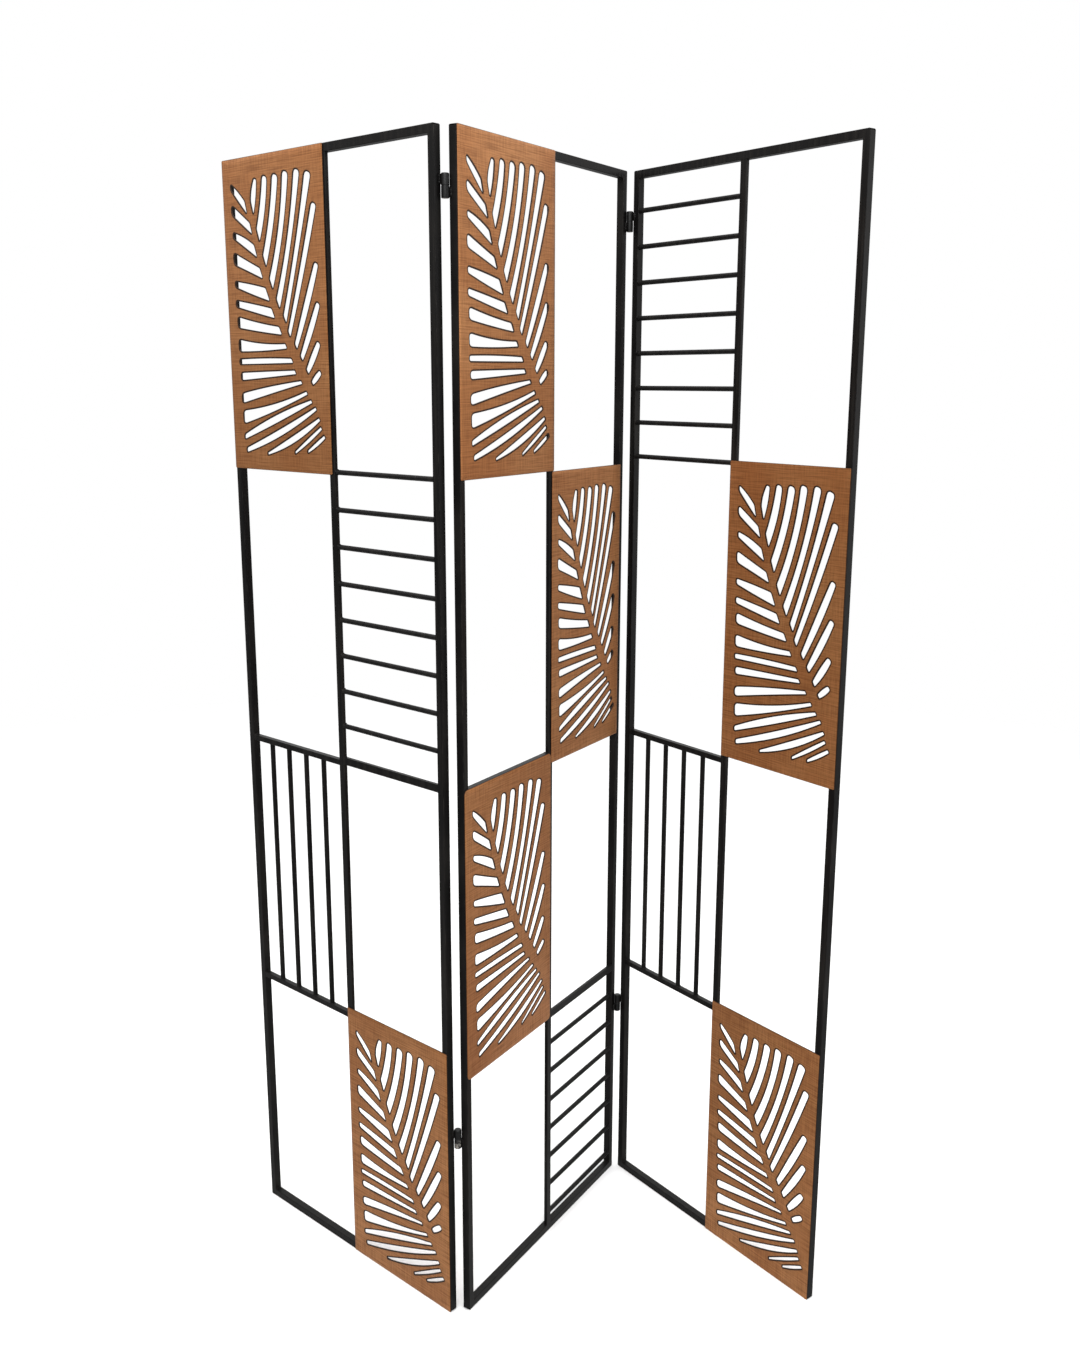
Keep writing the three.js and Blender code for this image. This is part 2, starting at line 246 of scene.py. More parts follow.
def rounded_bar(width: float, height: float, radius: float, steps: int = 4) -> tuple[Array, Array]:
    """Section of a bar with rounded corners, round its middle.

    Each corner is an arc of `steps` steps with one more point a little way along the flat at each
    end, which keeps the flats flat when the surface is shaded smooth.

    Args:
        width: Size along the first axis.
        height: Size along the second axis.
        radius: Radius of the corners.
        steps: Steps in a corner.

    Returns:
        The points, (n, 2), and how much of a corner each one is, 1 in the middle of an arc.
    """
    guard = 0.3
    quarter = np.arange(4) * math.pi / 2
    share = np.linspace(0, 1, steps + 1)
    angle = quarter[:, None] + share * math.pi / 2
    spoke = np.stack([np.cos(angle), np.sin(angle)], -1)
    reach = np.array([width / 2 - radius, height / 2 - radius])
    centre = np.stack([np.sign(np.cos(quarter + 0.1)), np.sign(np.sin(quarter + 0.1))], -1) * reach
    arc = centre[:, None, :] + radius * spoke
    onward = np.stack([-spoke[..., 1], spoke[..., 0]], -1)
    before = arc[:, :1] - guard * onward[:, :1]
    after = arc[:, -1:] + guard * onward[:, -1:]
    points = np.concatenate([before, arc, after], 1)
    corner = np.concatenate([[0.0], np.sin(share * math.pi), [0.0]])
    return points.reshape(-1, 2), np.tile(corner, 4)


def bar(start: Array, end: Array, across: Array, section: Array, worn: Array) -> Shell:
    """A straight bar: a section carried from start to end.

    A point is start or end plus section x * across + section y * (direction x across).

    Args:
        start: Middle of one end.
        end: Middle of the other end.
        across: Unit direction of the section's first axis.
        section: The section, (n, 2).
        worn: How exposed each point of the section is.

    Returns:
        The surface.
    """
    direction = (end - start) / np.linalg.norm(end - start)
    up = np.cross(direction, across)
    ends = np.stack([start, end])
    rings = ends[:, None, :] + section[:, :1] * across + section[:, 1:] * up
    return tube(rings, {"worn": np.tile(worn, (2, 1))})


def weld_bead(
    start: Array, end: Array, side: Array, out: Array, size: float, uneven: float = 0.08
) -> Shell:
    """A run of weld: an oval section carried along a line, in ripples, with round ends.

    The section's size at the share s of the way is size * (1 - |2s - 1|^5)^(1/2) times a ripple of
    1 + 0.1 * |sin|, with one ripple for each pitch of the run, and each ripple's own size.

    Args:
        start: Where the run begins.
        end: Where it ends.
        side: Unit direction across the run.
        out: Unit direction out of the joint.
        size: Half of the run's width.
        uneven: How much the ripples differ in size, as a share of it.

    Returns:
        The surface.
    """
    pitch, sides = 1.6, 12
    chance = np.random.default_rng(round(abs(start[2] * 10 + start[0])))
    length = np.linalg.norm(end - start)
    ripples = max(2, round(length / pitch))
    share = np.linspace(0.002, 0.998, 4 * ripples + 1)
    taper = np.sqrt(1 - np.abs(2 * share - 1) ** 5)
    each = chance.uniform(1 - uneven, 1 + uneven, ripples + 1)
    each = np.interp(share * ripples, np.arange(ripples + 1), each)
    grown = size * taper * each * (1 + 0.1 * np.abs(np.sin(math.pi * ripples * share)))
    angle = np.linspace(0, 2 * math.pi, sides, endpoint=False)
    spoke = np.cos(angle)[:, None] * side + 0.85 * np.sin(angle)[:, None] * out
    line = start + share[:, None] * (end - start)
    return tube(line[:, None, :] + grown[:, None, None] * spoke)


def add_piece(
    name: str,
    shells: Sequence[Shell],
    side: Side,
    material: bpy.types.Material,
    replaces: Sequence[str] = (),
    sharp_from_deg: float = 40.0,
) -> bpy.types.Object:
    """Puts closed surfaces into the scene as one piece that rides on its panel.

    Args:
        name: Name of the piece.
        shells: Its surfaces, in the panel's plane.
        side: The panel.
        material: Its finish.
        replaces: CAD nodes that it stands for.
        sharp_from_deg: Edges that turn by more than this are shaded sharp.

    Returns:
        The object, at the origin and unturned.
    """
    starts = np.cumsum([0] + [len(shell.points) for shell in shells])
    points = np.concatenate([shell.points for shell in shells])
    faces = [
        face
        for shell, start in zip(shells, starts)
        for block in shell.faces
        for face in (block + start).tolist()
    ]
    mesh = bpy.data.meshes.new(name)
    mesh.from_pydata(PLANES[side].world(points).tolist(), [], faces)
    for mark in sorted({mark for shell in shells for mark in shell.marks}):
        values = [shell.marks.get(mark, np.zeros(len(shell.points))) for shell in shells]
        layer = mesh.attributes.new(mark, "FLOAT", "POINT")
        layer.data.foreach_set("value", np.concatenate(values).astype(np.float32))
    corner_points = np.empty(len(mesh.loops), np.int32)
    mesh.loops.foreach_get("vertex_index", corner_points)
    flat = points[corner_points][:, [0, 2]] * MM
    layer = mesh.uv_layers.new(name="panel")
    layer.uv.foreach_set("vector", flat.astype(np.float32).ravel())

    work = bmesh.new()
    work.from_mesh(mesh)
    bmesh.ops.recalc_face_normals(work, faces=work.faces)
    work.to_mesh(mesh)
    work.free()
    mesh.shade_smooth()
    mesh.set_sharp_from_angle(angle=math.radians(sharp_from_deg))

    piece = bpy.data.objects.new(name, mesh)
    bpy.context.scene.collection.objects.link(piece)
    mesh.materials.append(material)
    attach(piece, side.body)
    if replaces:
        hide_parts(*replaces)
    log.info("%s: %d faces, rides on %s", name, len(mesh.polygons), side.body)
    return piece


PLANES = {side: PanelPlane.of(side) for side in Side}


# ---- Finishes --------------------------------------------------------------------------------


def linear(hex_colour: str) -> tuple[float, float, float, float]:
    """A colour of the sRGB screen standard as linear light.

    Args:
        hex_colour: Six hex digits after a hash.

    Returns:
        Linear red, green, blue, and an alpha of 1.
    """
    shown = np.array([int(hex_colour[i : i + 2], 16) / 255 for i in (1, 3, 5)])
    light = np.where(shown <= 0.04045, shown / 12.92, ((shown + 0.055) / 1.055) ** 2.4)
    return (*map(float, light), 1.0)


def add_node(
    tree: bpy.types.NodeTree,
    kind: str,
    inputs: dict[str | int, object] | None = None,
    **settings: object,
) -> bpy.types.Node:
    """Adds one node with its settings and links.

    Args:
        tree: Node tree that takes it.
        kind: Type of the node.
        inputs: By input name or number, a value or the output that feeds it.
        **settings: Properties of the node.

    Returns:
        The node.
    """
    made = tree.nodes.new(kind)
    for key, value in settings.items():
        setattr(made, key, value)
    for key, value in (inputs or {}).items():
        if isinstance(value, bpy.types.NodeSocket):
            tree.links.new(value, made.inputs[key])
        else:
            made.inputs[key].default_value = value
    return made


def new_material(name: str) -> tuple[bpy.types.Material, bpy.types.NodeTree]:
    """An empty node material, as (material, its node tree)."""
    material = bpy.data.materials.new(name)
    material.use_nodes = True
    material.node_tree.nodes.clear()
    return material, material.node_tree


MIX_FACTOR, MIX_A, MIX_B, MIX_RESULT = 0, 6, 7, 2  # sockets of a Mix node set to colours


@dataclass(frozen=True)
class PowderCoat:
    """Satin black polyester powder, baked onto the welded frame.

    Its skin has a fine orange peel, which breaks up the gloss. Dust dulls it in long streaks, and
    handling leaves it a little greyer along the corners of the tubes.
    """

    name: str = "satin_black_powder_coat"
    coat: str = "#0a0909"
    dusty: str = "#191715"
    rubbed: str = "#3b3733"
    peel_mm: float = 1.1
    peel_depth_mm: float = 0.12
    rub_mm: float = 18.0
    streak_mm: tuple[float, float] = (7.0, 160.0)
    roughness: tuple[float, float] = (0.3, 0.44)
    specular: float = 0.12

    def material(self) -> bpy.types.Material:
        """Builds the material."""
        material, tree = new_material(self.name)
        place = add_node(tree, "ShaderNodeTexCoord").outputs["Object"]
        panel = add_node(tree, "ShaderNodeUVMap", uv_map="panel").outputs["UV"]
        long_way = add_node(
            tree,
            "ShaderNodeMapping",
            {"Vector": panel, "Scale": tuple(1 / (size * MM) for size in self.streak_mm) + (1.0,)},
        )
        streaks = add_node(
            tree,
            "ShaderNodeTexNoise",
            {"Vector": long_way.outputs[0], "Scale": 1.0, "Detail": 4.0, "Roughness": 0.6},
        )
        dust = add_node(
            tree,
            "ShaderNodeMapRange",
            {"Value": streaks.outputs[0], "From Min": 0.4, "From Max": 0.72},
            interpolation_type="SMOOTHSTEP",
        )
        dulled = add_node(
            tree,
            "ShaderNodeMix",
            {MIX_FACTOR: dust.outputs[0], MIX_A: linear(self.coat), MIX_B: linear(self.dusty)},
            data_type="RGBA",
        )
        worn = add_node(tree, "ShaderNodeAttribute", attribute_name="worn")
        patches = add_node(
            tree,
            "ShaderNodeTexNoise",
            {"Vector": place, "Scale": 1 / (self.rub_mm * MM), "Detail": 5.0},
        )
        rubbing = add_node(
            tree,
            "ShaderNodeMapRange",
            {"Value": patches.outputs[0], "From Min": 0.5, "From Max": 0.68, "To Max": 0.35},
        )
        rub = add_node(
            tree,
            "ShaderNodeMath",
            {0: worn.outputs["Fac"], 1: rubbing.outputs[0]},
            operation="MULTIPLY",
        )
        colour = add_node(
            tree,
            "ShaderNodeMix",
            {
                MIX_FACTOR: rub.outputs[0],
                MIX_A: dulled.outputs[MIX_RESULT],
                MIX_B: linear(self.rubbed),
            },
            data_type="RGBA",
        )
        peel = add_node(
            tree,
            "ShaderNodeTexNoise",
            {"Vector": place, "Scale": 1 / (self.peel_mm * MM), "Detail": 2.0},
        )
        skin = add_node(
            tree,
            "ShaderNodeBump",
            {"Height": peel.outputs[0], "Strength": 0.35, "Distance": self.peel_depth_mm * MM},
        )
        gloss = add_node(
            tree,
            "ShaderNodeMapRange",
            {
                "Value": streaks.outputs[0],
                "From Min": 0.3,
                "From Max": 0.7,
                "To Min": self.roughness[0],
                "To Max": self.roughness[1],
            },
        )
        shader = add_node(
            tree,
            "ShaderNodeBsdfPrincipled",
            {
                "Base Color": colour.outputs[MIX_RESULT],
                "Roughness": gloss.outputs[0],
                "Normal": skin.outputs[0],
                "IOR": 1.5,
                "Specular IOR Level": self.specular,
            },
        )
        add_node(tree, "ShaderNodeOutputMaterial", {"Surface": shader.outputs[0]})
        return material


@dataclass(frozen=True)
class BrushedCopperLacquer:
    """Copper lacquer brushed onto laser-cut sheet steel.

    The brush leaves fine lines across the sheet and fainter ones up it, under a slow mottling. A dark
    line round each cut is partly the laser's burn and partly painted shade of the cut's walls, and the
    same dark is painted along the sheet's border as painted shade. Real brush lines are a few tenths
    of a millimetre apart and a real laser burn is about 1 mm wide. Both are drawn coarser here,
    because they wouldn't show from across a room.
    """

    name: str = "brushed_copper_lacquer"
    coat: str = "#b57745"
    pale: str = "#c28653"
    deep: str = "#70401c"
    # dark of the laser's burn and of painted shade round the cuts and along the border
    scorch_and_shade_colour: str = "#1d0e06"
    line_mm: tuple[float, float] = (55.0, 1.7)
    cross_line_mm: tuple[float, float] = (1.9, 40.0)
    line_depth_mm: float = 0.1
    mottle_mm: float = 110.0
    scorch_and_shade_mm: tuple[float, float] = (1.9, 2.8)  # painted shade with the laser's burn: fully dark up to the first, gone at the second
    metallic: float = 0.8  # metal flakes in a clear binder
    roughness: tuple[float, float] = (0.52, 0.36)

    def strokes(
        self, tree: bpy.types.NodeTree, sheet: bpy.types.NodeSocket, size_mm: tuple[float, float]
    ) -> bpy.types.NodeSocket:
        """Brush lines of one direction.

        Args:
            tree: Node tree that takes them.
            sheet: Place on the sheet.
            size_mm: Length of a stroke across and up the sheet.

        Returns:
            How strong the line is, from 0 to 1.
        """
        scaled = add_node(
            tree,
            "ShaderNodeMapping",
            {"Vector": sheet, "Scale": tuple(1 / (size * MM) for size in size_mm) + (1.0,)},
        )
        lines = add_node(
            tree,
            "ShaderNodeTexNoise",
            {"Vector": scaled.outputs[0], "Scale": 1.0, "Detail": 2.0, "Roughness": 0.5},
        )
        return lines.outputs[0]

    def material(self) -> bpy.types.Material:
        """Builds the material."""
        material, tree = new_material(self.name)
        place = add_node(tree, "ShaderNodeTexCoord").outputs["Object"]
        sheet = add_node(tree, "ShaderNodeUVMap", uv_map="panel").outputs["UV"]
        across = self.strokes(tree, sheet, self.line_mm)
        upright = self.strokes(tree, sheet, self.cross_line_mm)
        mottle = add_node(
            tree,
            "ShaderNodeTexNoise",
            {"Vector": place, "Scale": 1 / (self.mottle_mm * MM), "Detail": 3.0, "Roughness": 0.5},
        )
        cloud = add_node(
            tree,
            "ShaderNodeMapRange",
            {"Value": mottle.outputs[0], "From Min": 0.36, "From Max": 0.66},
        )
        ground = add_node(
            tree,
            "ShaderNodeMix",
            {MIX_FACTOR: cloud.outputs[0], MIX_A: linear(self.coat), MIX_B: linear(self.pale)},
            data_type="RGBA",
        )
        weave = add_node(
            tree, "ShaderNodeMath", {0: upright, 1: 0.6, 2: across}, operation="MULTIPLY_ADD"
        )
        grain = add_node(
            tree,
            "ShaderNodeMapRange",
            {
                "Value": weave.outputs[0],
                "From Min": 0.6,
                "From Max": 0.95,
                "To Min": 0.6,
                "To Max": 0.0,
            },
        )
        brushed = add_node(
            tree,
            "ShaderNodeMix",
            {
                MIX_FACTOR: grain.outputs[0],
                MIX_A: ground.outputs[MIX_RESULT],
                MIX_B: linear(self.deep),
            },
            data_type="RGBA",
        )
        # Painted shade with the laser's burn: dark near each cut, on its walls and along the sheet's
        # border.
        cut = add_node(tree, "ShaderNodeAttribute", attribute_name="from_cut")
        scorch_and_shade = add_node(
            tree,
            "ShaderNodeMapRange",
            {
                "Value": cut.outputs["Fac"],
                "From Min": self.scorch_and_shade_mm[0],
                "From Max": self.scorch_and_shade_mm[1],
                "To Min": 0.95,
                "To Max": 0.0,
            },
            interpolation_type="SMOOTHSTEP",
        )
        colour = add_node(
            tree,
            "ShaderNodeMix",
            {
                MIX_FACTOR: scorch_and_shade.outputs[0],
                MIX_A: brushed.outputs[MIX_RESULT],
                MIX_B: linear(self.scorch_and_shade_colour),
            },
            data_type="RGBA",
        )
        relief = add_node(
            tree,
            "ShaderNodeBump",
            {"Height": weave.outputs[0], "Strength": 0.3, "Distance": self.line_depth_mm * MM},
        )
        gloss = add_node(
            tree,
            "ShaderNodeMapRange",
            {
                "Value": weave.outputs[0],
                "From Min": 0.5,
                "From Max": 1.1,
                "To Min": self.roughness[0],
                "To Max": self.roughness[1],
            },
        )
        shader = add_node(
            tree,
            "ShaderNodeBsdfPrincipled",
            {
                "Base Color": colour.outputs[MIX_RESULT],
                "Metallic": self.metallic,
                "Roughness": gloss.outputs[0],
                "Normal": relief.outputs[0],
                "Coat Weight": 0.15,
                "Coat Roughness": 0.35,
            },
        )
        add_node(tree, "ShaderNodeOutputMaterial", {"Surface": shader.outputs[0]})
        return material


@dataclass(frozen=True)
class RubbedSteel:
    """Turned mild steel, coated with the frame, with the coat rubbed off where it is worn.

    The coat is dull and nearly black. Where it has gone, the steel shows pale and shiny in small
    ragged patches.
    """

    name: str = "rubbed_hinge_steel"
    coat: str = "#080808"
    steel: str = "#b3aea6"
    patch_mm: float = 5.0
    scratch_mm: float = 0.8
    scratch_depth_mm: float = 0.1
    roughness: float = 0.4
    specular: float = 0.3

    def material(self) -> bpy.types.Material:
        """Builds the material."""
        material, tree = new_material(self.name)
        place = add_node(tree, "ShaderNodeTexCoord").outputs["Object"]
        patches = add_node(
            tree,
            "ShaderNodeTexNoise",
            {"Vector": place, "Scale": 1 / (self.patch_mm * MM), "Detail": 6.0, "Roughness": 0.65},
        )
        bare = add_node(
            tree,
            "ShaderNodeMapRange",
            {"Value": patches.outputs[0], "From Min": 0.42, "From Max": 0.52},
            interpolation_type="SMOOTHSTEP",
        )
        worn = add_node(tree, "ShaderNodeAttribute", attribute_name="worn")
        bare = add_node(
            tree, "ShaderNodeMath", {0: bare.outputs[0], 1: worn.outputs["Fac"]}, operation="MULTIPLY"
        )
        colour = add_node(
            tree,
            "ShaderNodeMix",
            {MIX_FACTOR: bare.outputs[0], MIX_A: linear(self.coat), MIX_B: linear(self.steel)},
            data_type="RGBA",
        )
        scratches = add_node(
            tree,
            "ShaderNodeTexNoise",
            {"Vector": place, "Scale": 1 / (self.scratch_mm * MM), "Detail": 3.0},
        )
        relief = add_node(
            tree,
            "ShaderNodeBump",
            {
                "Height": scratches.outputs[0],
                "Strength": 0.4,
                "Distance": self.scratch_depth_mm * MM,
            },
        )
        shader = add_node(
            tree,
            "ShaderNodeBsdfPrincipled",
            {
                "Base Color": colour.outputs[MIX_RESULT],
                "Metallic": bare.outputs[0],
                "Roughness": self.roughness,
                "Specular IOR Level": self.specular,
                "Normal": relief.outputs[0],
            },
        )
        add_node(tree, "ShaderNodeOutputMaterial", {"Surface": shader.outputs[0]})
        return material


# ---- Welded frame ----------------------------------------------------------------------------


@dataclass
class WeldedFrame:
    """Mitred square tubes of one panel, with its post and the welds of their corners."""

    side: Side
    coat: bpy.types.Material
    corner_radius: float = 0.8
    flat_radius: float = 0.6
    ground_corner: float = 2.2  # how much of the frame's outer corner is ground off
    bead: float = 1.5
    bead_from_front: float = 0.8
    bead_from_back: float = 1.0  # in the corners only
    reach: float = 0.35  # how far the bars run on to meet the tubes

    def build(self) -> None:
        """Makes the four tubes, the post and the welds."""
        self.tubes()
        self.post()
        self.welds()

    def tubes(self) -> None:
        """The four tubes.

        A section point at the distance v from the frame's outer side begins at the length
        max(v, corner - v) along the tube, which is the mitre with the outer corner ground off.
        """
        plane = PLANES[self.side]
        section, worn = rounded_bar(plane.depth, plane.depth, self.corner_radius)
        inset = section[:, 0] + plane.depth / 2
        depth = section[:, 1] + plane.depth / 2
        trim = np.maximum(inset, self.ground_corner - inset)
        for name, length in (
            ("bottom_rail", plane.width),
            ("top_rail", plane.width),
            ("stile_left", plane.height),
            ("stile_right", plane.height),
        ):
            run = np.stack([trim, length - trim])
            across = np.stack([inset, inset])
            into = np.stack([depth, depth])
            if name == "bottom_rail":
                rings = np.stack([run, into, across], -1)
            elif name == "top_rail":
                rings = np.stack([run, into, plane.height - across], -1)
            elif name == "stile_left":
                rings = np.stack([across, into, run], -1)
            else:
                rings = np.stack([plane.width - across, into, run], -1)
            shell = tube(rings, {"worn": np.stack([worn, worn])})
            node = f"{self.side.value}_{name}"
            add_piece(f"{node}_tube", [shell], self.side, self.coat, [node])

    def post(self) -> None:
        """The flat bar between the two columns."""
        node = f"{self.side.value}_post"
        box = PLANES[self.side].extent(node)
        size = box.high - box.low
        section, worn = rounded_bar(size[0], size[1], self.flat_radius)
        start = np.array([box.middle[0], box.middle[1], box.low[2] - self.reach])
        end = np.array([box.middle[0], box.middle[1], box.high[2] + self.reach])
        shell = bar(start, end, np.array([1.0, 0.0, 0.0]), section, worn)
        add_piece(f"{node}_bar", [shell], self.side, self.coat, [node])

    def welds(self) -> None:
        """Beads inside the frame's corners and at both ends of the post."""
        plane = PLANES[self.side]
        tube_size, last = plane.depth, plane.depth - self.bead_from_back
        post = plane.extent(f"{self.side.value}_post")
        left, right = tube_size, plane.width - tube_size
        low, high = tube_size, plane.height - tube_size
        corners = [(u, z, last) for u in (left, right) for z in (low, high)]
        feet = [(u, z, post.high[1]) for u in (post.low[0], post.high[0]) for z in (low, high)]
        sideways, up = np.array([1.0, 0.0, 0.0]), np.array([0.0, 0.0, 1.0])
        beads = [
            weld_bead(
                np.array([u, self.bead_from_front, z]), np.array([u, depth, z]), sideways, up, self.bead
            )
            for u, z, depth in corners + feet
        ]
        add_piece(f"{self.side.value}_frame_welds", beads, self.side, self.coat)


# ---- Rungs, transoms and grilles -------------------------------------------------------------


@dataclass
class Infill:
    """What fills a panel's open cells: round rungs, flat transoms and grilles of bars."""

    side: Side
    coat: bpy.types.Material
    flat_radius: float = 0.6
    bead: float = 1.2
    bead_from_front: float = 0.6
    flare: float = 1.3  # how far the weld at a rod's end spreads
    lump: float = 0.22  # how uneven that weld is, as a share of it
    rod_sides: int = 28
    reach: float = 0.35
    bars_in_grille: int = 4
    rod_diameter: float = 8.0

    def build(self) -> None:
        """Makes every rung, transom and grille of the panel."""
        nodes = sorted(node for node in frame["nodes"] if node.startswith(f"{self.side.value}_"))
        for node in nodes:
            if "rung" in node or "rod" in node:
                self.rung(node)
            elif "transom" in node or "thin_rail" in node:
                self.transom(node)
            elif "grille" in node:
                self.grille(node)

    def rod(self, start: Array, end: Array, radius: float) -> Shell:
        """A round rod that ends in a weld at both ends.

        At a distance d from its end the rod's radius grows by flare * (1 - sqrt(1 - (1 - d /
        flare)^2)), a hollow fillet, with three soft lumps round it. The front stays flush.

        Args:
            start: Middle of one end.
            end: Middle of the other end.
            radius: Radius of the rod.

        Returns:
            The surface.
        """
        length = np.linalg.norm(end - start)
        near = self.flare * np.array([0.0, 0.12, 0.28, 0.5, 0.75, 1.0])
        along = np.concatenate([near, (length - near)[::-1]])
        left = np.clip(1 - np.minimum(along, length - along) / self.flare, 0, 1)
        fillet = self.flare * (1 - np.sqrt(1 - left**2))
        angle = np.linspace(0, 2 * math.pi, self.rod_sides, endpoint=False)
        lumps = 1 + self.lump * np.sin(3 * angle + start[2])
        direction = (end - start) / length
        shell = turned(start, direction, along, radius + fillet[:, None] * lumps, self.rod_sides)
        shell.points[:, 1] = np.maximum(shell.points[:, 1], start[1] - radius)
        return shell

    def rung(self, node: str) -> None:
        """One rung."""
        box = PLANES[self.side].extent(node)
        start, end = box.middle.copy(), box.middle.copy()
        start[0] = box.low[0] - self.reach
        end[0] = box.high[0] + self.reach
        shell = self.rod(start, end, (box.high[1] - box.low[1]) / 2)
        add_piece(f"{node}_rod", [shell], self.side, self.coat, [node])

    def crossbar(self, low: Array, high: Array) -> list[Shell]:
        """A flat or square bar across a column, with the welds at its ends.

        Args:
            low: Low corner of its box.
            high: High corner of its box.

        Returns:
            The bar and four beads.
        """
        middle, size = (low + high) / 2, high - low
        section, worn = rounded_bar(size[1], size[2], self.flat_radius)
        start = np.array([low[0] - self.reach, middle[1], middle[2]])
        end = np.array([high[0] + self.reach, middle[1], middle[2]])
        back = np.array([0.0, 1.0, 0.0])
        sideways, up = np.array([1.0, 0.0, 0.0]), np.array([0.0, 0.0, 1.0])
        front = low[1] + self.bead_from_front
        beads = [
            weld_bead(np.array([u, front, z]), np.array([u, high[1], z]), sideways, up, self.bead)
            for u in (start[0], end[0])
            for z in (low[2], high[2])
        ]
        return [bar(start, end, back, section, worn), *beads]

    def transom(self, node: str) -> None:
        """One flat bar between two cells of a column."""
        box = PLANES[self.side].extent(node)
        shells = self.crossbar(box.low, box.high)
        add_piece(f"{node}_bar", shells, self.side, self.coat, [node])

    def grille(self, node: str) -> None:
        """Two square rails with upright rods between them."""
        box = PLANES[self.side].extent(node)
        rail = box.high[1] - box.low[1]
        lower_top = np.array([box.high[0], box.high[1], box.low[2] + rail])
        upper_low = np.array([box.low[0], box.low[1], box.high[2] - rail])
        for place, low, high in (
            ("lower", box.low, lower_top),
            ("upper", upper_low, box.high),
        ):
            shells = self.crossbar(low, high)
            name = f"{node}_{place}_rail"
            add_piece(name, shells, self.side, self.coat, [node])
        pitch = (box.high[0] - box.low[0]) / (self.bars_in_grille + 1)
        for i in range(1, self.bars_in_grille + 1):
            foot = np.array([box.low[0] + i * pitch, box.middle[1], box.low[2] + rail])
            head = np.array([foot[0], foot[1], box.high[2] - rail])
            shell = self.rod(foot, head, self.rod_diameter / 2)
            add_piece(f"{node}_bar_{i}", [shell], self.side, self.coat, [node])


# ---- Palm plates -----------------------------------------------------------------------------

# One leaflet a row, lengths right and down from the top left corner of the frond's own plate:
# where it leaves the rib (right, down), its far end (right, down), its width at the rib, half way
# and at the far end, and how far its middle bows down or right.
LEFT_LEAFLETS = np.array([
    [54, 72, 21, 41, 17, 13.5, 6, -0.5],
    [64, 103, 21, 74, 16, 14, 12, 0],
    [73, 136.5, 22, 111, 17.5, 13.5, 6, -1],
    [84.5, 169.5, 21, 145, 15, 14.5, 15.5, 0],
    [97.5, 201, 22, 183, 19.5, 13.5, 6.5, 0],
    [109, 229, 22, 212, 14.5, 11, 7.5, 0],
    [124.5, 255, 24, 240, 11.5, 12, 14.5, 1],
    [136.5, 278, 24, 275, 6, 9.5, 16.5, 2],
    [149.5, 299.5, 24, 300, 5.5, 6.5, 5.5, -0.5],
    [156, 316.5, 26, 322.5, 4.5, 7.2, 9.5, 0],
    [169.5, 331.5, 26, 356, 3.2, 9, 13, -1],
    [181, 347, 27.5, 385, 3.4, 8.5, 18.5, 3],
    [191, 359.5, 28, 415.5, 3, 9.3, 5.5, -1.5],
    [200.5, 370, 32, 436, 3, 8.3, 5.2, 3.5],
    [207.5, 385.5, 84, 440, 3, 8.3, 1.6, 3.5],
    [211, 398.5, 150, 436, 2.7, 4.2, 2, 0.5],
    [218, 411, 180, 433.5, 3, 4.2, 2, 0.5],
])
RIGHT_LEAFLETS = np.array([
    [70, 73.5, 79, 34.5, 19, 12.5, 5, 0],
    [81.5, 113.5, 101.5, 32.5, 19, 13.5, 10, 3],
    [94.5, 151.5, 126, 32.5, 17, 12.5, 12, 4],
    [108, 185.5, 149.5, 30.5, 16, 11, 12, 6],
    [122.5, 215, 175.5, 30.5, 14.5, 9.5, 12, 5],
    [137, 238, 200, 36, 11.5, 9, 13, 2],
    [146, 260, 211, 80, 8.5, 9.5, 10, 1.5],
    [160.5, 278, 212.5, 163, 8, 11, 8, 1],
    [172.5, 295.5, 213.5, 219, 7.5, 10.5, 7.5, 1],
    [185, 315, 212, 275, 6.5, 10, 7, 0.5],
    [195.5, 332, 213.5, 317, 4.5, 7.5, 5, 0],
])


def unit(vectors: Array) -> Array:
    """Vectors of length 1 in the same directions."""
    return vectors / np.linalg.norm(vectors, axis=-1, keepdims=True)


def quadratic(start: Array, control: Array, end: Array, share: Array) -> Array:
    """Points of quadratic curves: (1-t)^2 start + 2t(1-t) control + t^2 end.

    Args:
        start: Start of each curve, (curves, 2).
        control: Its control point.
        end: Its end.
        share: The values of t, (points,) or (curves, points).

    Returns:
        Points, (curves, points, 2).
    """
    t = np.broadcast_to(share, (len(start), np.shape(share)[-1]))[..., None]
    return (1 - t) ** 2 * start[:, None] + 2 * t * (1 - t) * control[:, None] + t**2 * end[:, None]


